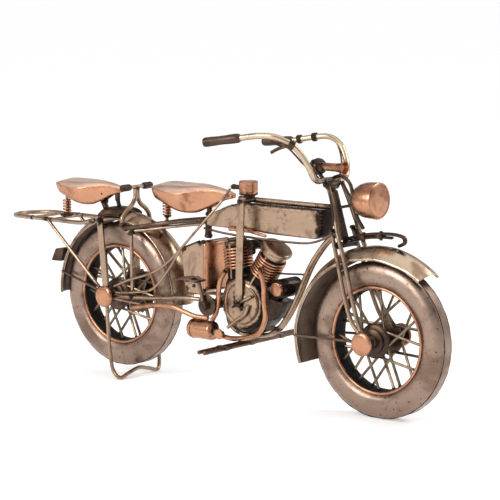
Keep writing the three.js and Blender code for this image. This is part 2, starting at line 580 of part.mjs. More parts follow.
function luggageRack() {
  const near = 13.2;
  const z = 87.4;
  const wireRadius = 1.2;
  const reach = near * 1.2;
  const loop = [v(-80, -near, z + 2.6), v(-90, -near, z + 0.2), v(-110, -near, z), v(-128, -near, z)];
  for (let k = 0; k <= 6; k += 1) {
    const a = (Math.PI * k) / 6;
    loop.push(v(wireRadius + reach - HALF_LENGTH - reach * Math.sin(a), -near * Math.cos(a),
      z - 0.6 * Math.sin(a)));
  }
  loop.push(v(-128, near, z), v(-110, near, z), v(-90, near, z + 0.2), v(-80, near, z + 2.6));
  const ties = [-130, -114.6].map((x) => bar(v(x, -near, z), v(x, near, z), 0.8, 6));
  const struts = SIDES.map(([, s]) => bar(v(-118, s * near, z), v(-74.8, s * 14, 50.6), 0.9, 6));
  piece('luggage_rack', weld([wire(loop, wireRadius, 24, 6), ...ties, ...struts]), NICKEL);
}

function passengerBar() {
  const at = v(-59.3, 0, 109.4);
  const grip = (s) => bar(v(at.x, s * 5.6, at.z), v(at.x, s * 12.3, at.z), 2, 10);
  const leg = (s) => wire([v(at.x, s * 0.6, 108.6), v(at.x, s * 2.2, 102.6), v(-59.6, s * 7.6, 97.6),
    v(-60, s * 11.2, 92.6), v(-60, s * 11.8, 88.8)], 1, 8, 6);
  const cross = bar(v(at.x, -12, at.z), v(at.x, 12, at.z), 1);
  piece('passenger_bar', weld([cross, grip(-1), grip(1), leg(-1), leg(1)]), NICKEL);
}

// ---- Stand, crank and control wires --------------------------------------------------------
function stand() {
  const { x, z } = REAR_AXLE;
  const right = [v(-68.6, -15.6, 43), v(-67, -16.2, 26), v(-65, -17, 14), v(-62.6, -17.2, 5),
    v(STAND_FOOT.x, -STAND_FOOT.y, STAND_FOOT.z), v(-58.4, -8, 3), v(-58.4, 0, 4.6)];
  const left = [v(-58.4, 8, 3), STAND_FOOT, v(-60, 19.3, 5.5), v(-61.5, 19.6, 14), v(-65, 17.6, 26),
    v(-68.6, 15.6, 43)];
  const eyes = SIDES.map(([, s]) => ring(x, z, Math.min(s * 15.1, s * 16.5), Math.max(s * 15.1, s * 16.5),
    AXLE_RADIUS + RUNNING_FIT, 4.7, 12));
  const hole = drum(x, z, -20, 20, AXLE_RADIUS + RUNNING_FIT, 12);
  piece('rear_stand', weld([wire([...right, ...left], 1.05, 30, 6), ...eyes], [hole]), NICKEL);
}

function crank() {
  const pin = (s) => v(CRANK_X + s * CRANK_RADIUS * Math.cos(CRANK_ANGLE), 0,
    CRANK_Z + s * CRANK_RADIUS * Math.sin(CRANK_ANGLE));
  const axleBar = bar(v(CRANK_X, -CRANK_ARM_Y, CRANK_Z), v(CRANK_X, CRANK_ARM_Y, CRANK_Z), 1.5, 12);
  const chainring = drum(CRANK_X, CRANK_Z, -17.6, -16.4, 6, 20);
  const parts = [axleBar, chainring];
  SIDES.forEach(([, s]) => {
    const end = pin(-s);
    const arm = bar(v(CRANK_X, 0, CRANK_Z), end, 1.5, 8).scale(1, 0.55, 1);
    parts.push(arm.translate(0, s * CRANK_ARM_Y, 0));
    parts.push(drum(CRANK_X, CRANK_Z, s * CRANK_ARM_Y - 0.9, s * CRANK_ARM_Y + 0.9, 2.6, 12));
    parts.push(bar(v(end.x, s * CRANK_ARM_Y, end.z), v(end.x, s * (CRANK_ARM_Y + 2.6), end.z), 0.9, 6));
  });
  piece('pedal_crank', weld(parts), NICKEL);
  SIDES.forEach(([side, s]) => {
    const end = pin(-s);
    const [y0, y1] = [s * 22.1, s * 30.5].sort((a, b) => a - b);
    const outer = block(end.x - 8, end.x + 8, y0, y1, end.z - 1.1, end.z + 1.1);
    const slots = [-1, 1].map((k) => block(end.x + k * 4 - 2.6, end.x + k * 4 + 2.6, y0 + 1.4, y1 - 1.4,
      end.z - 3, end.z + 3));
    piece(`pedal_${side}`, weld([outer], slots), DARK);
  });
}

function controlWires() {
  const upper = [v(11.6, -1.8, 113.4), v(8.6, -6.6, 106), v(2.6, -10.4, 97.6), v(-5, -12.4, 89),
    v(-14.6, -13, 79.3), v(-26.4, -13.6, 68.8), v(-37, -15, 63), v(-51, -15.9, 58.4), v(-63, -15.6, 53.4)];
  const lower = [v(-14.8, -13, 79), v(-24.4, -14, 64.9), v(-34, -15.4, 54.8), v(-46, -15.9, 51.9),
    v(-61.6, -15.6, 50)];
  piece('control_wires', weld([wire(upper, 0.5, 20, 5), wire(lower, 0.5, 11, 5)]), NICKEL);
}

frame();
wheel('front', FRONT_AXLE);
wheel('rear', REAR_AXLE);
axle('rear_axle', REAR_AXLE, REAR_CAP_Y);
sprocket();
steering();
tank();
engine();
boxes();
seating();
luggageRack();
passengerBar();
stand();
crank();
controlWires();

export default machine;
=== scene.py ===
import random
from math import cos, exp, hypot, pi, radians, sin, tan

import bmesh
import bpy
from mathutils import Matrix, Vector
from mathutils.noise import noise, noise_vector, seed_set


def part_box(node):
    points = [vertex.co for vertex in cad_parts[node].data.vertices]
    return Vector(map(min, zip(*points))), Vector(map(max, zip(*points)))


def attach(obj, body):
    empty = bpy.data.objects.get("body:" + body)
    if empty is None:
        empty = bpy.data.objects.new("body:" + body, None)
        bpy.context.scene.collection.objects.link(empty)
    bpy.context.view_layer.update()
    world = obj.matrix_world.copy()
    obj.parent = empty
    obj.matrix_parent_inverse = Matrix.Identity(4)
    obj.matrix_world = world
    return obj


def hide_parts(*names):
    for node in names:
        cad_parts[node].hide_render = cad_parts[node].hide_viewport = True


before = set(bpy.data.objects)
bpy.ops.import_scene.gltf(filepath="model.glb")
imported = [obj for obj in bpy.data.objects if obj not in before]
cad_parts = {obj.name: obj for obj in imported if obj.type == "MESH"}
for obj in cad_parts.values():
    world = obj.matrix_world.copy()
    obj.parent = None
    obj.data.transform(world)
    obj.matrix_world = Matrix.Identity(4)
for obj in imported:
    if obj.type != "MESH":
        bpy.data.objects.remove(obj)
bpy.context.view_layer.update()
random.seed(7)
seed_set(7)
scene = bpy.context.scene

# ---- Driving dimensions, in millimetres ----
MM = 0.001


def middle(node):
    """The centre of a CAD node, in millimetres."""
    low, high = (Vector(corner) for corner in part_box(node))
    return (low + high) / (2 * MM)


FRONT = middle("front_rim")
REAR = middle("rear_rim")
TYRE_RADIUS = 41.4
RIM_RADIUS = 27.9
SPOKES = 24
SPOKE_RADIUS = 0.78
WELD_REACH = 5.5               # burnt colour along a spoke from its welds
WIRE = 1.25
RAKE = radians(17)
STEER = Vector((84.6, 0, 104))
STEER_AXIS = Vector((-sin(RAKE), 0, cos(RAKE)))
BAR_TURN = radians(10.5)
ENGINE = Vector((27.5, 0, 52.7))
CRANK = Vector((7.5, 0, 50.3))
CRANK_ANGLE = radians(107)
CRANK_RADIUS = 15.4
SADDLE_ROLL = 0.1              # both saddles lean a little towards the right side
SIDES = (("right", -1), ("left", 1))


def P(x, y, z):
    return Vector((x, y, z))


def steer_point(z, y=0.0):
    return P(STEER.x - (z - STEER.z) * tan(RAKE), y, z)


def polar(centre, radius, degrees, y=0.0):
    """A point at an angle from the forward direction, in a plane square to Y."""
    a = radians(degrees)
    return P(centre.x + radius * cos(a), y, centre.z + radius * sin(a))


# ---- Mesh forms ----
class Skin:
    """The vertices and faces of one piece, gathered from several forms."""

    def __init__(self, *forms):
        self.verts, self.faces, self.inner = [], [], set()
        for form in forms:
            self.add(form)

    def add(self, form, inner=()):
        verts, faces = form
        base, first = len(self.verts), len(self.faces)
        self.verts += [Vector(v) for v in verts]
        self.faces += [tuple(base + i for i in face) for face in faces]
        self.inner |= {first + k for k in inner}
        return self

    def turned(self, angle=BAR_TURN):
        """Turns the piece about the steering axis."""
        turn = Matrix.Rotation(angle, 3, STEER_AXIS)
        self.verts = [turn @ (v - STEER) + STEER for v in self.verts]
        return self

    def uneven(self, depth, grain):
        """Moves the skin a little, as in sheet metal beaten by hand."""
        self.verts = [v + depth * noise_vector(v / grain) for v in self.verts]
        return self


def smooth_path(points, steps):
    """Points along a centripetal Catmull-Rom curve."""
    pts = [2 * points[0] - points[1], *points, 2 * points[-1] - points[-2]]
    path = []
    for a, b, c, d in zip(pts, pts[1:], pts[2:], pts[3:]):
        t1 = max((b - a).length, 1e-6) ** 0.5
        t2 = t1 + max((c - b).length, 1e-6) ** 0.5
        t3 = t2 + max((d - c).length, 1e-6) ** 0.5
        for k in range(steps):
            t = t1 + (t2 - t1) * k / steps
            ab = a.lerp(b, t / t1)
            bc = b.lerp(c, (t - t1) / (t2 - t1))
            cd = c.lerp(d, (t - t2) / (t3 - t2))
            abc = ab.lerp(bc, t / t2)
            bcd = bc.lerp(cd, (t - t1) / (t3 - t1))
            path.append(abc.lerp(bcd, (t - t1) / (t2 - t1)))
    path.append(points[-1])
    return path


def sweep(path, radius, sides=12, closed=False, flat=1.0, up=None):
    """A round or flattened bar along a path; radius is a number or a function of 0 to 1."""
    size = radius if callable(radius) else (lambda t: radius)
    n = len(path)
    verts, faces = [], []
    tangent = (path[1] - path[0]).normalized()
    normal = (up or (P(0, 1, 0) if abs(tangent.y) < 0.8 else P(0, 0, 1))).copy()
    for k in range(n):
        ahead = path[(k + 1) % n] if closed else path[min(k + 1, n - 1)]
        behind = path[k - 1] if closed or k else path[0]
        tangent = (ahead - behind).normalized()
        normal = (normal - normal.dot(tangent) * tangent).normalized()
        across = tangent.cross(normal)
        r = size(k / (n - 1))
        for j in range(sides):
            a = 2 * pi * j / sides
            verts.append(path[k] + r * (cos(a) * normal + flat * sin(a) * across))
    for k in range(n if closed else n - 1):
        for j in range(sides):
            a, b = k * sides + j, k * sides + (j + 1) % sides
            c, d = ((k + 1) % n) * sides + (j + 1) % sides, ((k + 1) % n) * sides + j
            faces.append((a, b, c, d))
    if not closed:
        faces.append(tuple(reversed(range(sides))))
        faces.append(tuple((n - 1) * sides + j for j in range(sides)))
    return verts, faces


def wire(points, radius=WIRE, steps=8, sides=12, **kw):
    """A bent wire through points, with softly rounded ends."""
    path = smooth_path(points, steps)
    for end, inside in ((0, 1), (-1, -2)):
        out = (path[end] - path[inside]).normalized()
        tip = path[end].copy()
        path[end] = tip - 0.3 * radius * out
        if end == 0:
            path.insert(0, tip)
        else:
            path.append(tip)
    last = len(path) - 1

    def size(t):
        return radius * (0.72 if round(t * last) in (0, last) else 1)

    return sweep(path, size, sides, **kw)


def rod(a, b, radius, sides=14, **kw):
    return wire([a, a.lerp(b, 0.5), b], radius, 2, sides, **kw)


def lathe(profile, centre, axis=(0, 1, 0), sides=64):
    """A turned form: profile points are (radius, distance along the axis)."""
    axis = Vector(axis).normalized()
    one = axis.orthogonal().normalized()
    two = axis.cross(one)
    rows, verts, faces = [], [], []
    for r, s in profile:
        if r < 1e-6:
            rows.append([len(verts)])
            verts.append(centre + axis * s)
            continue
        rows.append(list(range(len(verts), len(verts) + sides)))
        for j in range(sides):
            a = 2 * pi * j / sides
            verts.append(centre + axis * s + r * (cos(a) * one + sin(a) * two))
    for near, far in zip(rows, rows[1:]):
        for j in range(sides):
            ring = [near[j % len(near)], near[(j + 1) % len(near)], far[(j + 1) % len(far)],
                far[j % len(far)]]
            face = tuple(dict.fromkeys(ring))
            if len(face) > 2:
                faces.append(face)
    return verts, faces


def loft(rings, ends=True, around=True):
    n = len(rings[0])
    verts = [p for ring in rings for p in ring]
    faces = []
    for k in range(len(rings) - 1):
        for j in range(n if around else n - 1):
            a, b = k * n + j, k * n + (j + 1) % n
            faces.append((a, b, b + n, a + n))
    if ends:
        faces.append(tuple(reversed(range(n))))
        faces.append(tuple((len(rings) - 1) * n + j for j in range(n)))
    return verts, faces


def plate(outline, y0, y1):
    """A flat plate square to Y from an outline of (x, z) points."""
    return loft([[P(x, y, z) for x, z in outline] for y in (y0, y1)])


def block(low, high):
    (x0, y0, z0), (x1, y1, z1) = low, high
    return plate([(x0, z0), (x1, z0), (x1, z1), (x0, z1)], y0, y1)


def rounded(outline, radius, steps=4):
    """An outline of (x, z) points with its corners rounded."""
    points = []
    n = len(outline)
    for k in range(n):
        a, b, c = (Vector(outline[(k + d) % n]) for d in (-1, 0, 1))
        cut = min(radius, (a - b).length * 0.45, (c - b).length * 0.45)
        start, end = b + (a - b).normalized() * cut, b + (c - b).normalized() * cut
        for j in range(steps + 1):
            t = j / steps
            points.append(tuple(start.lerp(b, t).lerp(b.lerp(end, t), t)))
    return points


def coil(base, top, radius, turns, wire_radius, taper=1.0, per_turn=20, sides=10):
    """A helical wire between two points."""
    axis = (top - base).normalized()
    one = axis.orthogonal().normalized()
    two = axis.cross(one)
    count = int(turns * per_turn)
    path = []
    for k in range(count + 1):
        t = k / count
        a = 2 * pi * turns * t
        r = radius * (1 + (taper - 1) * t)
        path.append(base.lerp(top, t) + r * (cos(a) * one + sin(a) * two))
    return sweep(path, wire_radius, sides, up=axis)


def bead(centre, radius, squash=0.75, rough=0.28):
    """A lump of weld."""
    verts, faces = lathe([(0, -1), (0.5, -0.86), (0.87, -0.5), (1, 0), (0.87, 0.5), (0.5, 0.86), (0, 1)],
        P(0, 0, 0), (0.3, 0.2, 1), 12)
    lump = [centre + radius * P(v.x, v.y, v.z * squash) * (1 + rough * noise(v * 2.1 + centre * 0.7))
        for v in verts]
    return lump, faces


def bead_line(points, radius, gap):
    """A row of weld lumps along a line."""
    path = smooth_path(points, 12)
    forms, run = [bead(path[0], radius)], 0.0
    for a, b in zip(path, path[1:]):
        run += (b - a).length
        if run >= gap:
            forms.append(bead(b, radius * random.uniform(0.75, 1.2)))
            run = 0.0
    return forms


# ---- Materials ----
# Grain sizes of the finish: noise waves to the metre.
PIT_GRAIN, SOOT_GRAIN, DULL_GRAIN, RELIEF_GRAIN = 620, 330, 180, 420
RELIEF_STRENGTH, RELIEF_DEPTH = 0.12, 0.0006
BURNT_ROUGHNESS = 0.62
MIX_A, MIX_B = 6, 7            # the colour sockets of a mix node


def add_node(tree, kind, **settings):
    """Adds a shader node; each setting is named for its input, with _ for a space."""
    node = tree.nodes.new("ShaderNode" + kind)
    for key, value in settings.items():
        node.inputs[key.replace("_", " ")].default_value = value
    return node


def metal(name, clean, stain, burnt, roughness, metallic=1.0, cover=0.5, grain=70, pits=0.0):
    """Plated metal: clean and stained patches; a mask adds weld burns and, on some pieces, painted shade.
    """
    mat = bpy.data.materials.new(name)
    mat.use_nodes = True
    tree = mat.node_tree
    join = tree.links.new
    shader = tree.nodes["Principled BSDF"]
    shader.inputs["Metallic"].default_value = metallic
    shader.inputs["Specular IOR Level"].default_value = 0.15 if metallic < 0.5 else 0.5
    place = add_node(tree, "TexCoord").outputs["Object"]

    def cloud(scale, detail=5.0, rough=0.6, distortion=0.0):
        n = add_node(tree, "TexNoise", Scale=scale, Detail=detail, Roughness=rough, Distortion=distortion)
        join(place, n.inputs["Vector"])
        return n.outputs["Fac"]

    def remap(value, low, high, to_low=0.0, to_high=1.0):
        n = add_node(tree, "MapRange", From_Min=low, From_Max=high, To_Min=to_low, To_Max=to_high)
        n.interpolation_type = "SMOOTHSTEP"
        join(value, n.inputs["Value"])
        return n.outputs["Result"]

    def blend(fac, a, b):
        n = add_node(tree, "Mix")
        n.data_type = "RGBA"
        join(fac, n.inputs["Factor"])
        for key, colour in ((MIX_A, a), (MIX_B, b)):
            if isinstance(colour, tuple):
                n.inputs[key].default_value = (*colour, 1)
            else:
                join(colour, n.inputs[key])
        return n.outputs[2]

    def arithmetic(op, a, b):
        n = add_node(tree, "Math")
        n.operation = op
        join(a, n.inputs[0])
        join(b, n.inputs[1])
        return n.outputs[0]

    patches = remap(cloud(grain, 6, 0.62, 0.6), 0.62 - cover * 0.3, 0.72 - cover * 0.12)
    colour = blend(patches, clean, stain)
    if pits:
        spots = remap(cloud(PIT_GRAIN, 3, 0.5), 0.74 - pits * 0.1, 0.8 - pits * 0.1)
        colour = blend(spots, colour, burnt)
    # Mask: weld burns, and painted shade on the toolbox face, engine cover and saddle skirts.
    soot_and_shade = add_node(tree, "Attribute")
    soot_and_shade.attribute_name = "soot_and_shade"
    ragged = arithmetic("ADD", soot_and_shade.outputs["Fac"], remap(cloud(SOOT_GRAIN), 0.3, 0.7, -0.28, 0.28))
    burn = remap(ragged, 0.34, 0.92)
    colour = blend(burn, colour, burnt)
    join(colour, shader.inputs["Base Color"])
    dull = remap(cloud(DULL_GRAIN, 6), 0.32, 0.7, roughness - 0.06, roughness + 0.1)
    dulled = arithmetic("MAXIMUM", dull, remap(burn, 0.0, 1.0, 0.0, BURNT_ROUGHNESS))
    join(dulled, shader.inputs["Roughness"])
    relief = add_node(tree, "Bump", Strength=RELIEF_STRENGTH, Distance=RELIEF_DEPTH)
    join(cloud(RELIEF_GRAIN, 4, 0.55), relief.inputs["Height"])
    join(relief.outputs["Normal"], shader.inputs["Normal"])
    return mat


COPPER = metal("copper", (0.49, 0.243, 0.143), (0.29, 0.135, 0.077), (0.05, 0.025, 0.018), 0.3, grain=90,
    cover=0.42)
# Lighter copper for the saddle tops: painted reflection of the bright studio above.
ROSE = metal("copper with painted reflection", (0.78, 0.53, 0.41), (0.58, 0.36, 0.26), (0.08, 0.05, 0.035), 0.36, grain=60,
    cover=0.35)
NICKEL = metal("antique nickel", (0.38, 0.262, 0.18), (0.23, 0.148, 0.1), (0.03, 0.02, 0.016), 0.3,
    grain=80, cover=0.42, pits=0.2)
TYRE = metal("tyre metal", (0.315, 0.222, 0.172), (0.19, 0.124, 0.092), (0.07, 0.04, 0.026), 0.34,
    grain=55, cover=0.48, pits=1.0)
DARK = metal("blackened steel", (0.055, 0.036, 0.027), (0.12, 0.072, 0.047), (0.012, 0.009, 0.008), 0.38,
    metallic=0.9, cover=0.5)
GRIP = metal("dark brown patina", (0.085, 0.055, 0.04), (0.045, 0.028, 0.021), (0.012, 0.009, 0.008),
    0.4, metallic=0.85, cover=0.45)
BROWN = metal("brown patina", (0.15, 0.095, 0.066), (0.075, 0.046, 0.034), (0.02, 0.013, 0.01), 0.36,
    metallic=0.95, cover=0.45)
# Lighter nickel for the front mudguard and handlebar; on the mudguard partly paler plating, partly
# painted highlight.
PALE = metal("pale nickel", (0.54, 0.41, 0.29), (0.3, 0.2, 0.135), (0.04, 0.026, 0.02), 0.27, grain=70,
    cover=0.4, pits=0.3)
OLIVE = metal("olive wire", (0.25, 0.185, 0.125), (0.12, 0.08, 0.054), (0.03, 0.02, 0.015), 0.34,
    grain=70, cover=0.45)
SOOTY = metal("burnt steel", (0.022, 0.016, 0.013), (0.07, 0.045, 0.032), (0.01, 0.008, 0.007), 0.2,
    metallic=0.9, cover=0.55)
BLACK = metal("black underside", (0.010, 0.008, 0.007), (0.02, 0.014, 0.011), (0.008, 0.006, 0.005), 0.7,
    metallic=0.1)
SHADE = metal("fender inside", (0.12, 0.083, 0.062), (0.07, 0.048, 0.037), (0.02, 0.014, 0.011), 0.42,
    cover=0.5)

SHARP_ANGLE = BEVEL_ANGLE = 40

# Where the pieces were welded: place and how far the burnt colour spreads.
BURNS = []


def burn(point, reach):
    BURNS.append((point, reach))


def sooted(v):
    """How burnt the metal is at a point, from 0 to 1."""
    near = 0.0
    for point, reach in BURNS:
        d = (v - point).length
        if d < reach:
            near = max(near, 1 - d / reach)
    return near


def split_wide_faces(work):
    bmesh.ops.triangulate(work, faces=[f for f in work.faces if len(f.verts) > 4])


def piece(name, skin, material, replaces=(), body="frame", sharp=SHARP_ANGLE, bevel=0.0, inner=None,
        soot_and_shade=sooted, solid=0.0, dense=0.0):
    """Makes one object, hides the CAD parts it replaces and parents it to the body it rides on."""
    if not isinstance(skin, Skin):
        skin = Skin(skin)
    mesh = bpy.data.meshes.new(name)
    mesh.from_pydata([v * MM for v in skin.verts], [], skin.faces)
    work = bmesh.new()
    work.from_mesh(mesh)
    if not solid:
        bmesh.ops.recalc_face_normals(work, faces=work.faces)
    if dense:
        split_wide_faces(work)
        for _ in range(6):
            long_edges = [e for e in work.edges if e.calc_length() > dense * MM]
            if not long_edges:
                break
            bmesh.ops.subdivide_edges(work, edges=long_edges, cuts=1)
            split_wide_faces(work)
    work.to_mesh(mesh)
    work.free()
    mesh.materials.append(material)
    if inner:
        mesh.materials.append(inner)
        for k in skin.inner:
            mesh.polygons[k].material_index = 1
    mesh.shade_smooth()
    mesh.set_sharp_from_angle(angle=radians(sharp))
    # Mask for the dark colour: weld burns, and painted shade on a few pieces.
    layer = mesh.attributes.new("soot_and_shade", "FLOAT", "POINT")
    layer.data.foreach_set("value", [soot_and_shade(v.co / MM) for v in mesh.vertices])
    obj = bpy.data.objects.new(name, mesh)
    scene.collection.objects.link(obj)
    if solid:
        shell = obj.modifiers.new("thickness", "SOLIDIFY")
        shell.thickness = solid * MM
        shell.offset = -1
    if bevel:
        edge = obj.modifiers.new("edges", "BEVEL")
        edge.width = bevel * MM
        edge.segments = 3
        edge.limit_method = "ANGLE"
        edge.angle_limit = radians(BEVEL_ANGLE)
    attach(obj, body)
    if replaces:
        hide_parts(*replaces)
    return obj


# ---- Wheels ----
def wheel(prefix, centre):
    body = f"{prefix}_wheel"
    side = [(28.6, 4.6), (29.6, 5.7), (31.4, 6.3), (34, 6.6), (37, 6.3), (39, 5.5), (40.3, 4.4),
        (40.75, 3.75), (40.5, 3.5), (40.9, 3.35), (TYRE_RADIUS, 3.0)]
    profile = [(r, -y) for r, y in side] + [(TYRE_RADIUS, 0)] + side[::-1]
    profile += [(28.5, 0), profile[0]]
    tyre = Skin(lathe(profile, centre, sides=160)).uneven(0.16, 9)

    def tyre_soot(v):
        r = hypot(v.x - centre.x, v.z - centre.z)
        patch = 0.5 + 0.9 * noise(v / 7)
        root = max(0.0, 1 - (r - 28.4) / 2.4) * 0.7
        return root * min(1, max(0.25, patch + 0.4))

    piece(f"{prefix}_tyre_shell", tyre, TYRE, [f"{prefix}_tyre"], body, soot_and_shade=tyre_soot)

    seams = Skin()
    for s in (-1, 1):
        path = [polar(centre, TYRE_RADIUS - 0.1, 2.5 * k, s * 3.05) for k in range(144)]
        seams.add(sweep(path, lambda t: 0.22 + 0.09 * sin(61 * t) * sin(173 * t), 6, closed=True))
    piece(f"{prefix}_tyre_seams", seams, BLACK, body=body)

    rings = Skin()
    for s in (-1, 1):
        path = [polar(centre, RIM_RADIUS, 3 * k, s * 4.75) for k in range(120)]
        rings.add(sweep(path, 0.85, 10, closed=True))
    piece(f"{prefix}_rim_rings", rings, COPPER, [f"{prefix}_rim"], body)
    band = Skin(lathe([(27, -4.5), (28.2, -4.5), (28.2, 4.5), (27, 4.5), (26.6, 2.6), (26.3, 0),
        (26.6, -2.6), (27, -4.5)], centre, sides=120))
    piece(f"{prefix}_rim_band", band, BLACK, body=body)

    barrel = [(0, 11.4), (1.9, 11.4), (3.1, 11), (3.6, 10.2), (3.7, 9.2), (6.1, 9), (6.6, 8.6),
        (6.6, 7.5), (8.3, 7.3), (8.9, 6.9), (9.2, 6.3), (8.9, 5.5), (8.2, 5.2), (4.4, 4.8), (4, 3)]
    profile = [(r, -s) for r, s in barrel] + barrel[::-1]
    piece(f"{prefix}_hub_barrel", lathe(profile, centre, sides=48), DARK, body=body)

    spokes, ends = Skin(), Skin()
    for k in range(SPOKES):
        s = 1 if k % 2 else -1
        lean = 1 if (k // 2) % 2 else -1
        a = 360 * k / SPOKES
        root = polar(centre, 7.7, a - lean * 52, s * 6)
        tip = polar(centre, 26.5, a, s * 1.8)
        spokes.add(rod(root, tip, SPOKE_RADIUS, 8))
        ends.add(bead(tip, 1.15))
        ends.add(bead(root, 1.0))

    def spoke_soot(v):
        r = hypot(v.x - centre.x, v.z - centre.z)
        return max(0.0, 1 - (26.8 - r) / WELD_REACH, 1 - (r - 8) / WELD_REACH) * 0.75

    piece(f"{prefix}_spokes", spokes, OLIVE, [f"{prefix}_hub"], body, soot_and_shade=spoke_soot)
    piece(f"{prefix}_spoke_welds", ends, BLACK, body=body)


def axle(prefix, centre, cap_y, body):
    rod_skin = Skin(rod(centre - P(0, cap_y, 0), centre + P(0, cap_y, 0), 1.5))
    piece(f"{prefix}_axle_rod", rod_skin, BROWN, body=body)
    caps = Skin()
    for s in (-1, 1):
        face = [(0, 2.2), (1.2, 2.3), (4.6, 2.2), (5.7, 1.9), (6.2, 1.2), (6.2, 0.5), (5.7, 0),
            (2.2, -0.2), (0, -0.2)]
        caps.add(lathe([(r, t - 1.1) for r, t in face], centre + P(0, s * cap_y, 0), (0, s, 0), 48))
    piece(f"{prefix}_axle_caps", caps.uneven(0.05, 3), COPPER, [f"{prefix}_axle"], body)


# ---- Mudguards ----
def flared(t):
    """How far along its length a mudguard has moved off its circle, from 0 to 1."""
    return min(1.0, max(0.0, (t - 0.35) / 0.5))


def lip_radius(t, edge, tuck):
    """The radius of a mudguard's lower edge, before it flares."""
    return edge - tuck * (1 - flared(t)) * min(1, 0.25 + 5 * t)


def guard_skin(centre, start, stop, crown, edge, half, flare=0.0, tuck=0.0, thick=0.9):
    """A domed strip round an axle, with a dark inside."""
    along, across = 72, 14
    outside, inside = [], []
    for k in range(along + 1):
        a = start + (stop - start) * k / along
        out = flare * flared(k / along)
        lip = lip_radius(k / along, edge, tuck)
        for inset, rows in ((0.0, outside), (thick, inside)):
            row = []
            for j in range(across + 1):
                t = 2 * j / across - 1
                r = lip + (crown - lip) * cos(t * pi / 2) ** 0.85 - inset + out
                row.append(polar(centre, r, a, t * (half - inset * 0.4)))
            rows.append(row)
    form = loft([o + i[::-1] for o, i in zip(outside, inside)])
    n = 2 * (across + 1)
    dark = [k for k in range(len(form[1]) - 2) if across < k % n < n - 1]
    return form, dark


def mudguard(name, centre, start, stop, crown, edge, half, flare, tuck, finish, body, wire_radius, stay):
    """A mudguard with a wired edge on both sides and a thin stay to each end of the axle."""
    steps = 40
    skin, edges, stays = Skin(), Skin(), Skin()
    skin.add(*guard_skin(centre, start, stop, crown, edge, half, flare, tuck))
    near, far, radius = stay
    for _, s in SIDES:
        line = []
        for k in range(steps + 1):
            r = lip_radius(k / steps, edge, tuck) + flare * flared(k / steps)
            line.append(polar(centre, r, start + (stop - start) * k / steps, s * (half - 0.05)))
        edges.add(wire(line, wire_radius, 2, 8))
        stays.add(rod(*(P(x, s * y, z) for x, y, z in (near, far)), radius, 8))
    piece(f"{name}_shell", skin.uneven(0.12, 8), finish, [name], body, inner=SHADE)
    piece(f"{name}_edges", edges, finish, body=body)
    piece(f"{name}_stays", stays, BROWN, body=body)


def front_fender():
    burn(P(122.6, 0, 91), 8)
    burn(P(99, 0, 90), 6)
    # Lighter nickel: partly paler plating, partly painted highlight along the crest.
    mudguard("front_fender", FRONT, 50, 200, 49.4, 46, 9, 4.4, 2.8, PALE, "steering", 0.55,
        ((61.4, 8.9, 39), (108.6, 12.6, 41), 0.75))


def rear_fender():
    burn(polar(REAR, 48, 94), 13)
    burn(polar(REAR, 48, 62), 6)
    mudguard("rear_fender", REAR, -2, 184, 48.4, 44.3, 8.7, -1.5, 0, NICKEL, "frame", 0.5,
        ((-111.2, 8.5, 57), (-77, 13.2, 49.6), 0.7))
    tail = plate(rounded([(-123.2, 61.6), (-115, 61.8), (-113, 69.8), (-119.6, 69)], 0.8), -5, 5)
    piece("tail_plate", tail, DARK, bevel=0.3)
    arch, _ = guard_skin(REAR, 84, 105, 50.4, 46.6, 10, thick=1.4)
    bridge = Skin(
        arch,
        wire([P(-83, 0, 95.4), P(-84.2, 0, 97.4), P(-84.6, 0, 98.6)], 1.8),
        wire([P(-72, 0, 96), P(-73.4, 0, 99), P(-74, 0, 103)], 1.2))
    piece("fender_bridge", bridge, DARK, ["rear_bridge"])


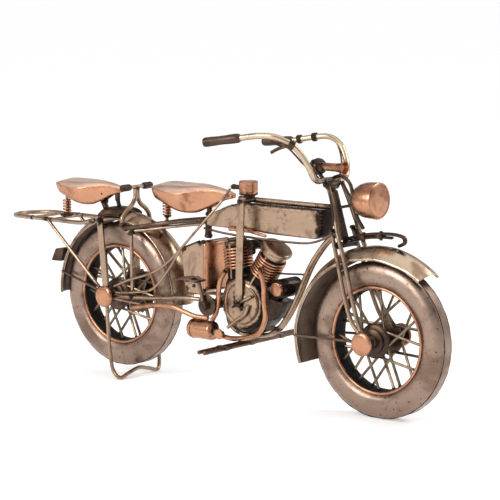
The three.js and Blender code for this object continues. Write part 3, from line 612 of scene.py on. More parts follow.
# ---- Steering ----
def steering():
    body = "steering"
    stem = Skin(
        rod(steer_point(89.4), steer_point(121.2), 1.4),
        rod(steer_point(89.4, -7.6), steer_point(89.4, 7.6), 1.7),
        rod(steer_point(119.8, -4.4), steer_point(119.8, 4.4), 2.2))
    for y in (-7.4, 7.4):
        stem.add(bead(steer_point(89.4, y), 2.4))
    for y in (-3.8, 3.8):
        stem.add(bead(steer_point(120.6, y), 2.5))
    burn(steer_point(89.4, -7.6), 7)
    burn(steer_point(120, -6), 9)
    burn(steer_point(120, 6), 9)
    piece("steering_column", stem, DARK, ["steering_stem"], body)

    for side, s in SIDES:
        front = [P(81.4, s * 6.3, 121.6), P(86.2, s * 7.6, 109.5), P(90.6, s * 9.6, 96),
            P(96, s * 10.8, 82), P(101.6, s * 11.8, 64), P(107.6, s * 12.8, 48.6), P(111.6, s * 13, 43)]
        rear = [P(86.5, s * 9.4, 97), P(91.5, s * 10.8, 82), P(97, s * 12, 64), P(103, s * 12.9, 50.5),
            P(110.6, s * 13, 43)]
        burn(P(111, s * 13, 43), 7)
        burn(P(88, s * 9.2, 96), 5)
        legs = Skin(
            wire(front, 1.2, 10), wire(rear, 1.15, 10),
            rod(P(89.6, s * 9.1, 94.5), P(86.4, s * 9.3, 97.2), 1.1),
            rod(P(81.4, s * 6.3, 121.4), P(79.6, s * 4.8, 120.2), 1.1))
        piece(f"fork_wires_{side}", legs, NICKEL, [f"fork_leg_{side}"], body)
        eye = [(1.7, -1.2), (3.6, -1.2), (3.9, -0.6), (3.9, 0.6), (3.6, 1.2), (1.7, 1.2), (1.7, -1.2)]
        ends = Skin(
            lathe(eye, FRONT + P(0, s * 13, 0), sides=28), bead(P(86.6, s * 9.3, 97.4), 1.7),
            bead(P(89.8, s * 9.2, 94.6), 1.6), bead(P(108.6, s * 12.9, 46.6), 1.5))
        piece(f"fork_eye_{side}", ends, DARK, body=body)

    leaves = Skin(
        wire([P(88, 0, 91.4), P(94, 0, 93.6), P(102, 0, 95.5), P(112, 0, 96.8), P(121, 0, 97),
            P(126.2, 0, 95.7), P(126.6, 0, 93.4), P(122.8, 0, 91.2)], 1.7, 8, flat=0.55, up=P(0, 1, 0)),
        wire([P(92, 0, 91.2), P(102, 0, 93.8), P(112, 0, 95), P(119, 0, 95.2)], 1.6, 8, flat=0.5,
            up=P(0, 1, 0)))
    for x, z in ((100.6, 94.4), (111.6, 95.9)):
        leaves.add(rod(P(x, -2.6, z), P(x, 2.6, z), 1.7, 10))
        leaves.add(rod(P(x, 0, z - 2.6), P(x, 0, z + 2.4), 0.9, 10))
    piece("leaf_springs", leaves, DARK, ["leaf_spring"], body)

    bracket = Skin(
        wire([P(80.6, 0, 124), P(86, 0, 125.2), P(91, 0, 122), P(92.8, 0, 117.6), P(93.2, 0, 112),
            P(96.6, 0, 103.6), P(100.4, 0, 98.4)], 1.0),
        rod(P(83.4, 0, 108.2), P(94.4, 0, 110.6), 0.8), bead(P(94.4, 0, 113.4), 2.3),
        bead(P(93.4, 0, 110.6), 1.8))
    piece("lamp_stay", bracket, DARK, ["lamp_bracket"], body)

    cable = Skin(
        wire([P(79.4, -7.6, 122.8), P(84.6, -9.2, 117), P(87, -9.6, 109), P(88.6, -10, 100)], 0.55, 8, 8),
        wire([P(84, 3.6, 121.4), P(89, 4.4, 113), P(91.4, 5, 104), P(92.6, 5.4, 97)], 0.55, 8, 8))
    piece("fork_cables", cable, DARK, body=body)


def handlebar():
    body = "steering"
    right = [P(78.2, -9, 122.6), P(78.2, -13.4, 122.4), P(77.8, -17.2, 124), P(76.6, -20.4, 129),
        P(74.4, -22.8, 134), P(71, -25.4, 139.4), P(66, -28.4, 143.2), P(60, -30.6, 145.2),
        P(50, -31, 145), P(40.5, -30.6, 143.6), P(36, -31.3, 142.9)]
    left = [P(78.2, 9, 122.6), P(78.2, 15.5, 122.4), P(77.6, 20.5, 124), P(76.2, 24, 129),
        P(74, 26, 134), P(70.8, 27.6, 139.2), P(66, 29.4, 142.6), P(60, 31, 144), P(50, 31, 142.8),
        P(39, 30.8, 140.7), P(34.4, 31.6, 140.4)]
    points = [*right[::-1], *left]
    burn(P(78.2, 0, 122.6), 8)
    piece("handlebar_tube", Skin(wire(points, 1.62, 8, 16)).turned(), PALE, ["handlebar"], body)

    def grip_radius(t):
        return 2.45 * (0.86 if t < 0.02 or t > 0.98 else 1) + 0.1 * sin(9 * t)

    ends = (("right", right[-2], P(20.8, -34.2, 140.4)), ("left", left[-2], P(19.4, 34.2, 139.2)))
    for side, inner, outer in ends:
        path = [inner.lerp(outer, k / 20) for k in range(21)]
        grip = Skin(sweep(path, grip_radius, 20))
        piece(f"grip_sleeve_{side}", grip.turned(), GRIP, [f"grip_{side}"], body)

    lever = Skin(
        wire([P(69.4, -26.8, 142), P(66.8, -28.3, 140.6), P(62.6, -29.4, 139), P(58.6, -29.8, 136.8)],
            0.9, 8, 10),
        coil(P(69.6, -26, 140.6), P(67.2, -27.6, 142.4), 2.1, 3, 0.6),
        wire([P(58.6, -31, 143), P(62, -29, 141), P(66, -25.6, 139.6), P(73, -20, 131),
            P(77.4, -11, 124)], 0.5, 8, 8),
        wire([P(62, 30.6, 144), P(68.4, 27.6, 140), P(74.6, 21, 130), P(79, 8, 122)], 0.5, 8, 8),
        coil(P(54, 31, 143.5), P(51.5, 31.1, 143.1), 2.0, 2.5, 0.5),
        coil(P(44.6, 31, 141.9), P(42.4, 31.1, 141.5), 2.0, 2.5, 0.5))
    piece("brake_lever", lever.turned(), DARK, body=body)

    bulb = Skin(
        lathe([(0, -4.7), (2, -4.3), (3.7, -2.9), (4.6, 0), (4.3, 1.9), (3.2, 3.6), (1.9, 4.4),
            (0, 4.6)], P(76.4, -8, 130.2), (1, 0, 0), 32),
        rod(P(77, -8, 127), P(78.6, -6, 123.6), 1.0))
    for k in range(7):
        lump = P(cos(2.1 * k), -0.4 - 0.5 * sin(k), sin(1.3 * k)).normalized() * 4.1
        bulb.add(bead(P(76.4, -8, 130.2) + lump, 1.1, 0.8))
    piece("horn_bulb", bulb, SOOTY, ["horn"], body)
    tube = [(0, 0), (1.9, 0), (2.2, 0.6), (2.2, 8.6), (2.5, 11), (3.2, 13.6), (3.5, 14.4), (3.1, 14.5),
        (2.2, 12), (0, 11)]
    piece("horn_tube", lathe(tube, P(79.6, -8, 130.4), (1, 0, 0), 32), COPPER, body=body)


def headlamp():
    body = "steering"
    centre = P(94.6, 0, 113.7)
    bowl = [(0, 0), (2.6, 0.1), (4.4, 0.6), (5.9, 1.5), (7.2, 2.8), (8.3, 4.6), (9.1, 7), (9.5, 9.6),
        (9.65, 12.4), (9.7, 14.6), (9.65, 15.5), (9.2, 15.9), (8.8, 15.7), (8.7, 15.2), (8.6, 14.4),
        (0, 14.2)]
    burn(centre, 9)
    burn(centre + P(6, -4, -8), 6)

    def bowl_soot(v):
        back = max(0.0, 1 - (v.x - centre.x) / 11) * (0.8 + 0.5 * noise(v / 4))
        return max(sooted(v) * 0.8, min(0.8, back), 0.3 + 0.4 * noise(v / 3))

    piece("lamp_bowl", Skin(lathe(bowl, centre, (1, 0, 0), 72)).uneven(0.06, 5), COPPER,
        ["headlamp_bowl"], body, soot_and_shade=bowl_soot)
    lens = [(0, 16.3), (3, 16.25), (6.4, 16.05), (8.2, 15.75), (8.55, 15.3), (8.55, 14.6), (0, 14.5)]
    seam = [centre + P(15.5, 8.55 * cos(pi * k / 36), 8.55 * sin(pi * k / 36)) for k in range(72)]
    piece("lamp_seam", sweep(seam, 0.22, 8, closed=True), COPPER, body=body)
    piece("lamp_lens", lathe(lens, centre, (1, 0, 0), 64), COPPER, ["headlamp_lens"], body)


# ---- Frame ----
def tubes():
    top = Skin(rod(P(16.5, 0, 108.3), P(79.8, 0, 108.3), 1.5, 16))
    burn(P(79.6, 0, 108.3), 8)
    burn(P(17, 0, 108.3), 5)
    piece("top_rail", top, NICKEL, ["top_tube"])
    head = Skin(rod(steer_point(92.2), steer_point(117.2), 2.3, 20))
    for z in (93.4, 97, 105.6, 109.6, 116.4):
        head.add(bead(steer_point(z) - P(0.9, 0, 0), 2.2, 0.9))
    piece("head_lug", head, DARK, ["head_tube"])

    welds = Skin()
    for side, s in SIDES:
        y = s * 1.35
        down = [P(83.4, s * 1.6, 95.4), P(75.3, y, 87.7), P(66.7, y, 76.2), P(58.2, y, 59.1),
            P(51.5, y, 47.5), P(45, y, 39.4), P(37.5, y, 35), P(28, y, 33.9), P(17, y, 34.4),
            P(11, y, 38.4), P(9, y, 46.4)]
        burn(down[0], 9)
        burn(down[-1], 8)
        burn(P(45, y, 39.4), 5)
        piece(f"down_rail_{side}", wire(down, 1.28, 8, 14), NICKEL, [f"down_tube_{side}"])

        rail = [P(-3.2, s * 4.6, 95.4), P(-28, s * 4.6, 92), P(-39, s * 7.4, 90), P(-46, s * 10.8, 88.6),
            P(-57.6, s * 11.6, 86.8)]
        piece(f"seat_wire_{side}", wire(rail, 1.3), BROWN, [f"seat_rail_{side}"])
        low = [P(-7, s * 5, 92.6), P(-28, s * 5.4, 89.4), P(-40, s * 8.4, 87.4), P(-50, s * 12, 86)]
        piece(f"seat_wire_low_{side}", wire(low, 0.8), NICKEL)

        x, z = REAR.x, REAR.z
        stay = [P(x + 3, s * 13.7, z + 0.2), P(-38, s * 13, 49), P(-12, s * 11.2, 51.4),
            P(3.6, s * 9, 51.4)]
        burn(stay[0], 6)
        burn(stay[-1], 8)
        burn(P(-50.6, s * 13.5, 48.4), 5)
        burn(P(-75, s * 13.9, 90), 7)
        mid = s * 13.9
        flat = plate([(x - 4, z + 3), (x, z + 3), (-73, 90.4), (-77, 90.4)], mid - 0.6, mid + 0.6)
        rear = Skin(
            wire(stay, 1.25), rod(P(-50.6, s * 13.5, 48.4), P(-52, s * 12.8, 85), 1.1),
            rod(P(-76.4, s * 13.9, 89.6), P(-76.4, s * 12.2, 92), 0.9), flat)
        piece(f"rear_stays_{side}", rear, NICKEL, [f"rear_frame_{side}"], dense=4)
        plate_ring = [(1.7, -0.9), (3.9, -0.9), (3.9, 0.9), (1.7, 0.9), (1.7, -0.9)]
        welds.add(lathe(plate_ring, REAR + P(0, mid, 0), sides=28))
        for at, size in ((P(x + 2.4, s * 13.8, z + 1), 2.0), (P(-50.8, s * 13.6, 48.6), 1.9),
                (P(-52, s * 12.8, 84.6), 2.0), (P(-75, s * 13.9, 90.2), 2.0),
                (P(3.4, s * 8.8, 51.4), 2.3), (P(9, y, 46), 2.3), (P(17.4, y, 34.6), 1.9),
                (P(44.6, y, 39.4), 1.9), (P(83.2, s * 1.6, 95.2), 2.4), (P(-57.2, s * 11.6, 86.8), 2.2)):
            welds.add(bead(at, size))
    shell = [(1.9, -8), (2.9, -8), (3.1, -7.6), (3.1, 7.6), (2.9, 8), (1.9, 8), (1.9, -8)]
    welds.add(lathe(shell, CRANK, sides=32))
    piece("frame_welds", welds, DARK, ["crank_shell"])

    post = Skin(
        rod(P(-5.8, 0, 84.7), P(-5.2, 0, 96), 1.9), rod(P(-5.2, -5.4, 95), P(-5.2, 5.4, 95), 1.5),
        bead(P(-5.2, -4.8, 95), 2.2), bead(P(-5.2, 4.8, 95), 2.2), bead(P(-5.6, 0, 86), 2.4))
    piece("seat_pillar", post, DARK, ["seat_post"])

    bars = Skin()
    for x in (22.6, 26.6):
        bars.add(rod(P(x, -42, 29.6), P(x, 42, 29.6), 1.15, 12))
    for y in (-24, -2, 24):
        bars.add(block((21.2, y - 1.7, 28.6), (28.2, y + 1.7, 30.8)))
    piece("foot_rail", bars, BROWN, ["foot_bar"], bevel=0.3)


# ---- Tank ----
def tank():
    outline = rounded([(-2.6, 92.8), (0, 92.2), (30, 92), (40, 91.2), (73.4, 91), (76.2, 93.4),
        (77.4, 100), (76.6, 106.4), (26, 106.4), (14, 104.4), (0, 99.2), (-2.6, 97)], 1.6, 3)
    rings = []
    for y, inset in ((-6, 1.3), (-5.75, 0.6), (-5.3, 0.15), (-4.6, 0), (0, 0), (4.6, 0), (5.3, 0.15),
            (5.75, 0.6), (6, 1.3)):
        ring = []
        for x, z in outline:
            inward = (Vector((37, 98.6)) - Vector((x, z))).normalized()
            ring.append(P(x + inset * inward.x, y, z + inset * inward.y * 1.4))
        rings.append(ring)
    skin = Skin(loft(rings)).uneven(0.05, 6)

    def tank_soot(v):
        nose = max(0.0, (v.x - 71.5) / 3.5)
        top = max(0.0, 1 - (106.6 - v.z) / 2.4) * (0.6 + noise(v / 4))
        low = max(0.0, 1 - (v.z - 91) / 1.3) * (0.55 + noise(v / 5))
        stain = 0.3 + 0.45 * noise(v / 9)
        return min(1.0, max(nose, top, low, stain, sooted(v)))

    piece("tank_shell", skin, NICKEL, ["fuel_tank"], soot_and_shade=tank_soot, dense=2.5)
    seams = Skin()
    for s in (-1, 1):
        for line, radius, gap in ((((26, 4.6, 106.5), (50, 4.7, 106.6), (75.6, 4.6, 106.3)), 0.95, 1.3),
                (((74.6, 5, 92.4), (76.4, 5, 99), (76.2, 5, 106)), 0.9, 1.3),
                (((2, 2.2, 100.2), (14, 2.4, 104.8), (26, 2.4, 106.1)), 0.45, 0.6)):
            for form in bead_line([P(x, s * y, z) for x, y, z in line], radius, gap):
                seams.add(form)
    piece("tank_seams", seams, DARK)

    fittings = Skin(
        rod(P(16.4, -7, 92.2), P(31.2, -7, 92.1), 1.1), rod(P(24, -7.2, 92.8), P(41, -7, 90.2), 0.9),
        bead(P(16.2, -6.6, 92.2), 1.7),
        lathe([(0, -2), (1.9, -2), (2.2, -1.5), (2.2, 1.5), (1.9, 2), (0, 2)], P(23, -7, 92.2),
            (1, 0, 0), 24))
    piece("tank_tap", fittings, COPPER)
    low = Skin(wire([P(-3, -7, 91), P(12, -7.2, 89.4), P(29, -7.2, 88.7), P(56.4, -7, 88.3),
        P(70, -6.4, 89), P(78, -5.2, 91.6), P(83.6, -3.6, 95)], 0.65, 8, 8))
    piece("tank_wire", low, BROWN)

    cup = [(0, -3.9), (4.6, -3.9), (5.2, -3.4), (5.25, -2.6), (5.0, -2.2), (5.2, -1.8), (5.2, 2.6),
        (5.3, 3), (5.2, 3.6), (4.7, 3.9), (0, 3.9)]

    def cup_soot(v):
        return 0.3 + 0.5 * noise(v / 3) + max(0.0, 1 - (v.z - 110.6) / 1.5)

    piece("filler_cup", lathe(cup, P(23, 0, 114.5), (0, 0, 1), 48), COPPER, ["oil_cup"], soot_and_shade=cup_soot,
        dense=1)
    knob = Skin(
        rod(P(12.4, 0, 114.4), P(18, 0, 114.4), 1.3), bead(P(13, 0, 114.4), 2.1),
        rod(P(23, 0, 109.6), P(23, 0, 111), 2.6), bead(P(24, 0, 110), 3))
    piece("filler_knob", knob, DARK)
    strap = plate(rounded([(24.6, 53), (29.2, 53), (30.6, 109.6), (26, 109.6)], 0.8), -13.5, -12.4)
    burn(P(28.2, -13, 109), 5)
    burn(P(27, -13, 54), 7)
    piece("shift_strap", strap, NICKEL, ["shift_lever"], bevel=0.25, dense=3)
    piece("shift_bracket", rod(P(28.3, -12.4, 108.2), P(28.3, -1, 108.4), 1.1), DARK)


# ---- Engine ----
def engine():
    case = Skin(
        lathe([(0, -8), (15.4, -8), (16.4, -7), (16.4, 7), (15.4, 8), (0, 8)], ENGINE, sides=72),
        block((18.5, -7, 36.4), (36.5, 7, 44)),
        plate([(42, 44), (45.4, 44.6), (53, 55), (43.6, 56.4), (40, 50)], -7.6, 5),
        rod(P(14, -6, 60), P(20, -6, 72), 2.2))
    piece("engine_case", case, DARK, ["crankcase"], bevel=0.4)
    left = Skin(lathe([(0, 7.6), (12.6, 7.6), (13, 8.2), (12.6, 8.9), (6, 9.1), (5.4, 9.7), (2.2, 9.9),
        (0, 9.9)], ENGINE, sides=64))
    for angle in range(15, 360, 60):
        left.add(bead(polar(ENGINE, 14.4, angle, 8.1), 0.9, 0.8))
    piece("engine_left_cover", left.uneven(0.05, 4), BROWN)
    cover = [(0, 8.3), (14.4, 8.3), (14.4, 10.2), (14.0, 11), (13.2, 11.5), (11.6, 11.6), (11.2, 11.2),
        (10.6, 11.5), (5.2, 12), (4.4, 12.4), (2.8, 12.4), (2.6, 11.6), (0, 11.6)]
    burn(ENGINE + P(0, -12, 0), 5)

    # Painted shade: the rim is darkened, most on its front half; darker round the hub too; random stains
    # over all.
    def cover_shade_and_stains(v):
        r = hypot(v.x - ENGINE.x, v.z - ENGINE.z)
        rim = max(0.0, (r - 12.2) / 1.4) * (0.9 if v.x > ENGINE.x else 0.5)
        hub = max(0.0, 1 - r / 5.5) * 0.9
        return max(rim, hub, 0.26 + 0.5 * noise(v / 6))

    piece("engine_cover", Skin(lathe(cover, ENGINE, (0, -1, 0), 72)).uneven(0.05, 5), NICKEL,
        ["timing_cover"], soot_and_shade=cover_shade_and_stains, dense=1.2)
    hub = Skin(lathe([(0, 0), (2.2, 0), (2.4, 0.5), (2.2, 1.5), (1, 1.9), (0, 1.9)],
        ENGINE + P(-1.6, -11.6, 0), (0, -1, 0), 24))
    for a in (35, 125, 215, 305):
        tip = ENGINE + P(-1.6, -13, 0) + 4.6 * P(cos(radians(a)), 0, sin(radians(a)))
        hub.add(rod(ENGINE + P(-1.6, -13, 0), tip, 0.6, 8))
    piece("cover_boss", hub, DARK)
    swoop = [polar(ENGINE + P(2, 0, 0), 9.6, a, -11.7) for a in range(-60, 71, 10)]
    edge = Skin(wire(swoop, 0.75, 2, 8))
    for a in (20, 100, 170, 250, 320):
        edge.add(bead(polar(ENGINE, 13.2, a, -11), 0.7))
    piece("cover_step", edge, BROWN)
    levers = Skin(
        wire([P(28.4, -13.2, 53.6), P(32, -13.6, 55.6), P(35.6, -13.2, 57.6)], 0.9),
        wire([P(19.6, -14, 38.8), P(26, -13.8, 43.6), P(31.4, -13.4, 47.8), P(33.4, -13.2, 52.4)], 1.05))
    piece("cover_levers", levers, NICKEL)

    pitch, turns = 1.75, 8
    top = pitch * turns
    for name, x, lean, start, cap, neck, height, finish in (("front", 26.5, 33, 18, 8.6, 3.4, 6, NICKEL),
            ("rear", 22.3, -7, 17, 5.4, 2.2, 4, DARK)):
        a = radians(lean)
        axis = P(sin(a), 0, cos(a))
        base = P(x, -4, ENGINE.z) + axis * start
        fins = Skin(coil(base + axis * 0.6, base + axis * (top - 0.5), 7.45, turns - 0.5, 0.66,
            per_turn=36))
        piece(f"{name}_fins", fins, COPPER, [f"{name}_cylinder"])
        barrel = Skin(lathe([(0, -5), (6.9, -5), (6.9, 0), (6.5, 0.2), (6.5, top), (0, top)], base, axis,
            40))
        piece(f"{name}_barrel", barrel, BLACK)
        lift, end = top + neck, top + height
        head = [(0, top), (6.8, top), (7, top + 0.4), (7, lift - 0.6), (6.6, lift),
            (cap - 0.5, lift + 0.1), (cap, lift + 0.6), (cap, end - 0.6), (cap - 0.5, end - 0.1),
            (cap - 1.4, end), (0, end)]
        if name == "rear":
            burn(base + axis * top, 6)
        piece(f"{name}_head", lathe(head, base, axis, 48), finish)
        rods = Skin()
        for y in (-11.6, -9.6):
            foot = P(x, y, ENGINE.z) + axis * 13
            rods.add(rod(foot, P(x, y + 1.2, ENGINE.z) + axis * 32, 0.75, 10))
        piece(f"{name}_pushrods", rods, NICKEL)
    plug = Skin(wire([P(44.6, -4, 70.2), P(52, -3.4, 70.4), P(60, -2.4, 70.8), P(65.6, -1.4, 71)], 0.55,
        6, 8))
    piece("spark_wire", plug, DARK)

    carb = Skin(
        lathe([(0, -5.6), (2.6, -5.6), (2.9, -5), (2.9, -1), (2.2, -0.4), (2.2, 2), (2.9, 2.6), (2.9, 5),
            (2.4, 5.6), (0, 5.6)], P(31, -3.5, 84.6), (0, 1, 0), 28),
        rod(P(27.6, -4, 84.6), P(35.2, -4, 84.6), 1.6), rod(P(31, -7, 84.6), P(31, -7, 79.6), 2.2))
    piece("carburettor_body", carb, DARK, ["carburettor"])

    disc = P(50.6, 0, 62.6)
    piece("magneto_disc", lathe([(0, 11.2), (3, 11.2), (3.6, 11), (3.9, 10.5), (3.9, 8), (0, 8)], disc,
        (0, -1, 0), 40), COPPER, ["magneto"])
    mag = Skin(
        lathe([(0, 9.3), (4.8, 9.3), (5.2, 8.8), (5.2, -6.6), (4.8, -7), (0, -7)], disc, (0, -1, 0), 40),
        rod(P(47, -4, 56), P(50, -4, 60), 2))
    piece("magneto_case", mag, SOOTY)


def pipes():
    silencer = [(0, 0), (3.2, 0), (4.7, 0.2), (5.2, 0.7), (5.3, 1.4), (5.3, 15.2), (5.1, 16),
        (4.4, 16.7), (3, 17.4), (0, 17.5)]
    start = P(-8, -12, 35.4)
    for spot in (P(-6, -14, 40), P(8, -13, 38), P(2, -12, 41)):
        burn(spot, 5)

    def can_soot(v):
        along = (v.x - start.x) / 17.5
        ends = max(0.0, 1 - along / 0.14, 1 - (1 - along) / 0.16)
        above = max(0.0, (v.z - start.z - 2.6) / 3)
        return max(0.75 * ends, 0.8 * above) * (0.75 + 0.9 * noise(v / 2.6)) + 0.1

    piece("silencer_can", Skin(lathe(silencer, start, (1, 0, 0), 48)).uneven(0.05, 5), COPPER,
        ["muffler"], soot_and_shade=can_soot, dense=0.9)
    bands = Skin(
        sweep([start + P(3, 5.25 * cos(t), 5.25 * sin(t)) for t in (2 * pi * k / 40 for k in range(40))],
            0.3, 8, closed=True),
        bead(P(9.6, -12, 35.4), 2.6), bead(P(-5, -10, 40.4), 1.8))
    piece("silencer_bands", bands, BROWN)
    front = [P(42.2, -14.3, 73), P(44.6, -14, 66), P(45, -13.8, 56), P(45.6, -13.6, 46.7),
        P(41.4, -13.5, 38.6), P(33.6, -13.5, 35), P(22, -13.4, 33), P(15, -13, 33.6),
        P(10.4, -12.6, 34.6)]
    burn(front[0], 5)
    burn(front[-1], 4)
    exhaust = Skin(
        wire(front, 1.42, 8, 14), rod(P(41.4, -8.6, 73.4), P(42.6, -14.2, 73), 1.5),
        lathe([(0, 0), (2.5, 0), (2.9, 0.4), (2.9, 1.3), (2.6, 1.6), (0, 1.7)], P(15, -14.9, 34.9),
            (0, -1, 0), 32),
        rod(P(15, -15.4, 34.9), P(15, -12, 34.9), 1.3))
    piece("front_exhaust_pipe", exhaust, COPPER, ["front_exhaust"])
    rear = [P(18.2, -14.2, 70), P(14.4, -13.9, 64), P(12.8, -13.9, 53), P(11.2, -13.6, 46),
        P(7.4, -12.4, 41.2)]
    burn(rear[0], 5)
    piece("rear_exhaust_pipe", Skin(wire(rear, 1.42, 8, 14), rod(P(19, -9, 71.4), rear[0], 1.5)), COPPER,
        ["rear_exhaust"])
    tail = [P(5.6, -13.4, 42.4), P(-3, -14.4, 42.6), P(-10, -15.4, 44.4), P(-18, -16, 46.4),
        P(-30, -16, 46.2), P(-50, -16, 42.6)]
    piece("tail_pipe_bend", wire(tail, 1.42, 8, 14), COPPER, ["tail_pipe"])


def boxes():
    side = rounded([(-12.6, 56.6), (-10.6, 55), (-1.4, 55), (0.4, 56.4), (0.4, 83.4), (-1.6, 84.5),
        (-15.2, 79.2)], 1.0)
    burn(P(-2, -11.6, 84.4), 5)
    burn(P(-12, -11.6, 57), 5)
    piece("toolbox", plate(side, -11.6, 11.6), NICKEL, ["battery_box"], bevel=0.5, dense=3)
    rings = []
    for z, inset in ((57, 1), (57.3, 0.4), (58.2, 0), (82.8, 0), (83.7, 0.4), (84, 1)):
        front = [P(1.2 - inset + 3.4 * sin(pi * k / 16), (inset - 11.7) * cos(pi * k / 16), z)
            for k in range(17)]
        rings.append([P(0.6, 11.6 - inset, z), P(0.6, inset - 11.6, z), *front])

    # Painted shade: the curved copper face darkens towards its far (+Y) side, where it turns from the
    # light, with a little random tone.
    def face_painted_shade(v):
        return min(0.7, max(0.0, (v.y - 1) / 10)) + 0.12 * noise(v / 6)

    piece("toolbox_face", loft(rings), COPPER, ["box_front"], soot_and_shade=face_painted_shade, dense=3)
    trim = Skin(
        wire([P(-14.8, -11.9, 79.4), P(-8, -11.9, 82), P(-1.6, -11.9, 84.5)], 0.5, 4, 8),
        lathe([(0, 0), (1.1, 0), (0.9, 0.6), (0, 0.8)], P(-6.4, -11.6, 59), (0, -1, 0), 16),
        bead(P(-13.6, -11.4, 79), 1.6), bead(P(0.4, -11.4, 84), 1.6), bead(P(0.4, -11.4, 56.6), 1.6))
    piece("toolbox_trim", trim, DARK)


# ---- Seats ----
def saddle(name, tail, z, size):
    """A pressed pan: a nearly flat dished top, a crisp edge and a skirt that deepens in the middle."""
    # Distance from the tail, half width, and the heights of crown, edge and hem.
    stations = ((0.8, 4.6, 9.0, 8.6, 5.4), (2, 7.6, 9.7, 9.0, 4.4), (5.6, 10.4, 10.5, 9.1, 3.1),
        (13, 12.0, 11.0, 8.2, 0.9), (22, 12.2, 11.3, 7.4, -2.3), (28, 10.8, 11.4, 7.8, -3.4),
        (34, 7.8, 11.2, 8.9, -3.4), (40, 5.0, 10.7, 9.4, -1.0), (46, 3.6, 9.9, 8.9, 2.2),
        (52, 2.8, 8.9, 7.9, 4.2), (55.6, 2.0, 7.8, 7.0, 5.0))
    widths = smooth_path([P(s, half, 0) for s, half, *_ in stations], 4)
    heights = smooth_path([P(crown, edge, hem) for _, _, crown, edge, hem in stations], 4)
    rings = []
    top, side = 16, 6
    for w, (crown, edge, hem) in zip(widths, heights):
        row = [(-w.y * (0.8 + 0.2 * sin(k / side * pi / 2)), hem + (edge - 0.4 - hem) * k / side)
            for k in range(side + 1)]
        for k in range(top + 1):
            t = 2 * k / top - 1
            rise = (1 - abs(t) ** 2.6) - 0.28 * exp(-(t / 0.45) ** 2)
            row.append((w.y * 0.965 * t, edge + (crown - edge) * rise))
        row += [(-y, h) for y, h in row[:side + 1][::-1]]
        rings.append([P(tail + w.x * size, y * size, z + size * (h + SADDLE_ROLL * y)) for y, h in row])
    skin = Skin()
    verts, faces = loft(rings, ends=False, around=False)
    n = len(rings[0])
    faces.append(tuple(range(n)))
    faces.append(tuple(reversed(range(len(verts) - n, len(verts)))))
    # The top faces take the lighter copper: painted reflection on the top of the pan.
    lit_top_faces = [k for k in range(len(faces) - 2) if side < k % (n - 1) <= side + top]
    skin.add((verts, [tuple(reversed(f)) for f in faces]), lit_top_faces)
    skin.uneven(0.06, 6)

    # Painted shade: below the crease the skirt takes ragged dark patches, while the top gets only faint
    # ones.
    def skirt_shade(v):
        skirt_dark = 0.12 + 0.3 * max(0.0, noise(v / 7))
        return skirt_dark if v.z < z + size * 6.6 else 0.05 * max(0.0, noise(v / 5))

    piece(f"{name}_pan", skin, COPPER, [name], solid=0.8, sharp=30, soot_and_shade=skirt_shade, inner=ROSE)
    rim = [P(tail + w.x * size, -w.y * size * 0.985, z + size * (h.y - 0.15)) for w,
        h in zip(widths, heights)]
    crease = Skin()
    for s in (-1, 1):
        line = [P(q.x, s * q.y, q.z + SADDLE_ROLL * s * q.y) for q in rim]
        crease.add(sweep(line, 0.3, 8))
    piece(f"{name}_crease", crease, COPPER)


def saddle_spring(name, x, top, coil_top, coil_low, base, turns, reach):
    springs = Skin(coil(P(x, 0, coil_low), P(x, 0, coil_top), 2.05, turns, 0.6))
    piece(f"{name}_coil", springs, COPPER, [f"{name}_spring"])
    post = Skin(rod(P(x, 0, base + 0.2), P(x, 0, top), 0.9))
    piece(f"{name}_post", post, NICKEL)
    foot = Skin(
        block((x - 1.7, -reach, base), (x + 1.7, reach, base + 1.4)), bead(P(x, 0, base + 1), 1.9),
        bead(P(x, 0, coil_low), 1.7))
    piece(f"{name}_foot", foot, DARK, bevel=0.25)


def seats():
    saddle("front_saddle", -43, 103, 1)
    saddle("rear_saddle", -118.4, 101.2, 0.88)
    saddle_spring("front_saddle", -36.2, 107, 102.4, 94.4, 89.8, 5, 6.4)
    saddle_spring("rear_saddle", -114.6, 105, 98.2, 89.8, 88.4, 5, 4)
    mounts = Skin(
        rod(P(-5.2, 0, 96), P(-4.4, 0, 106), 1.5), bead(P(-5, 0, 98), 2.3),
        rod(P(-74, 0, 100), P(-74, 0, 105), 1.5),
        wire([P(-84.6, 0, 98), P(-84.4, -2, 101), P(-83, -3, 105)], 1.4),
        wire([P(-84.6, 0, 98), P(-84.4, 2, 101), P(-83, 3, 105)], 1.4),
        bead(P(-84.4, 0, 99), 2.4))
    piece("saddle_mounts", mounts, DARK)


# ---- Rear fittings ----
def rack():
    near, z = 13.2, 87.4
    reach = near * 1.2
    loop = [P(-80, -near, z + 2.6), P(-90, -near, z + 0.2), P(-110, -near, z), P(-128, -near, z)]
    for k in range(9):
        a = pi * k / 8
        loop.append(P(1.25 + reach - 154.1 - reach * sin(a), -near * cos(a), z - 0.6 * sin(a)))
    loop += [P(-128, near, z), P(-110, near, z), P(-90, near, z + 0.2), P(-80, near, z + 2.6)]
    skin = Skin(wire(loop, 1.25, 8, 14))
    for x in (-130, -114.6):
        skin.add(rod(P(x, -near, z), P(x, near, z), 0.85))
    for _, s in SIDES:
        skin.add(rod(P(-118, s * near, z), P(-74.8, s * 14, 50.6), 0.95))
    burn(P(-74.8, -14, 50.6), 8)
    burn(P(-118, -13.2, 87.4), 5)
    piece("rack_wires", skin, NICKEL, ["luggage_rack"])
    clips = Skin()
    for _, s in SIDES:
        for x in (-130, -118, -114.6, -82):
            clips.add(bead(P(x, s * near, z + (1.6 if x == -82 else 0)), 1.8))
        clips.add(bead(P(-74.8, s * 14, 50.8), 2))
    piece("rack_welds", clips, DARK)


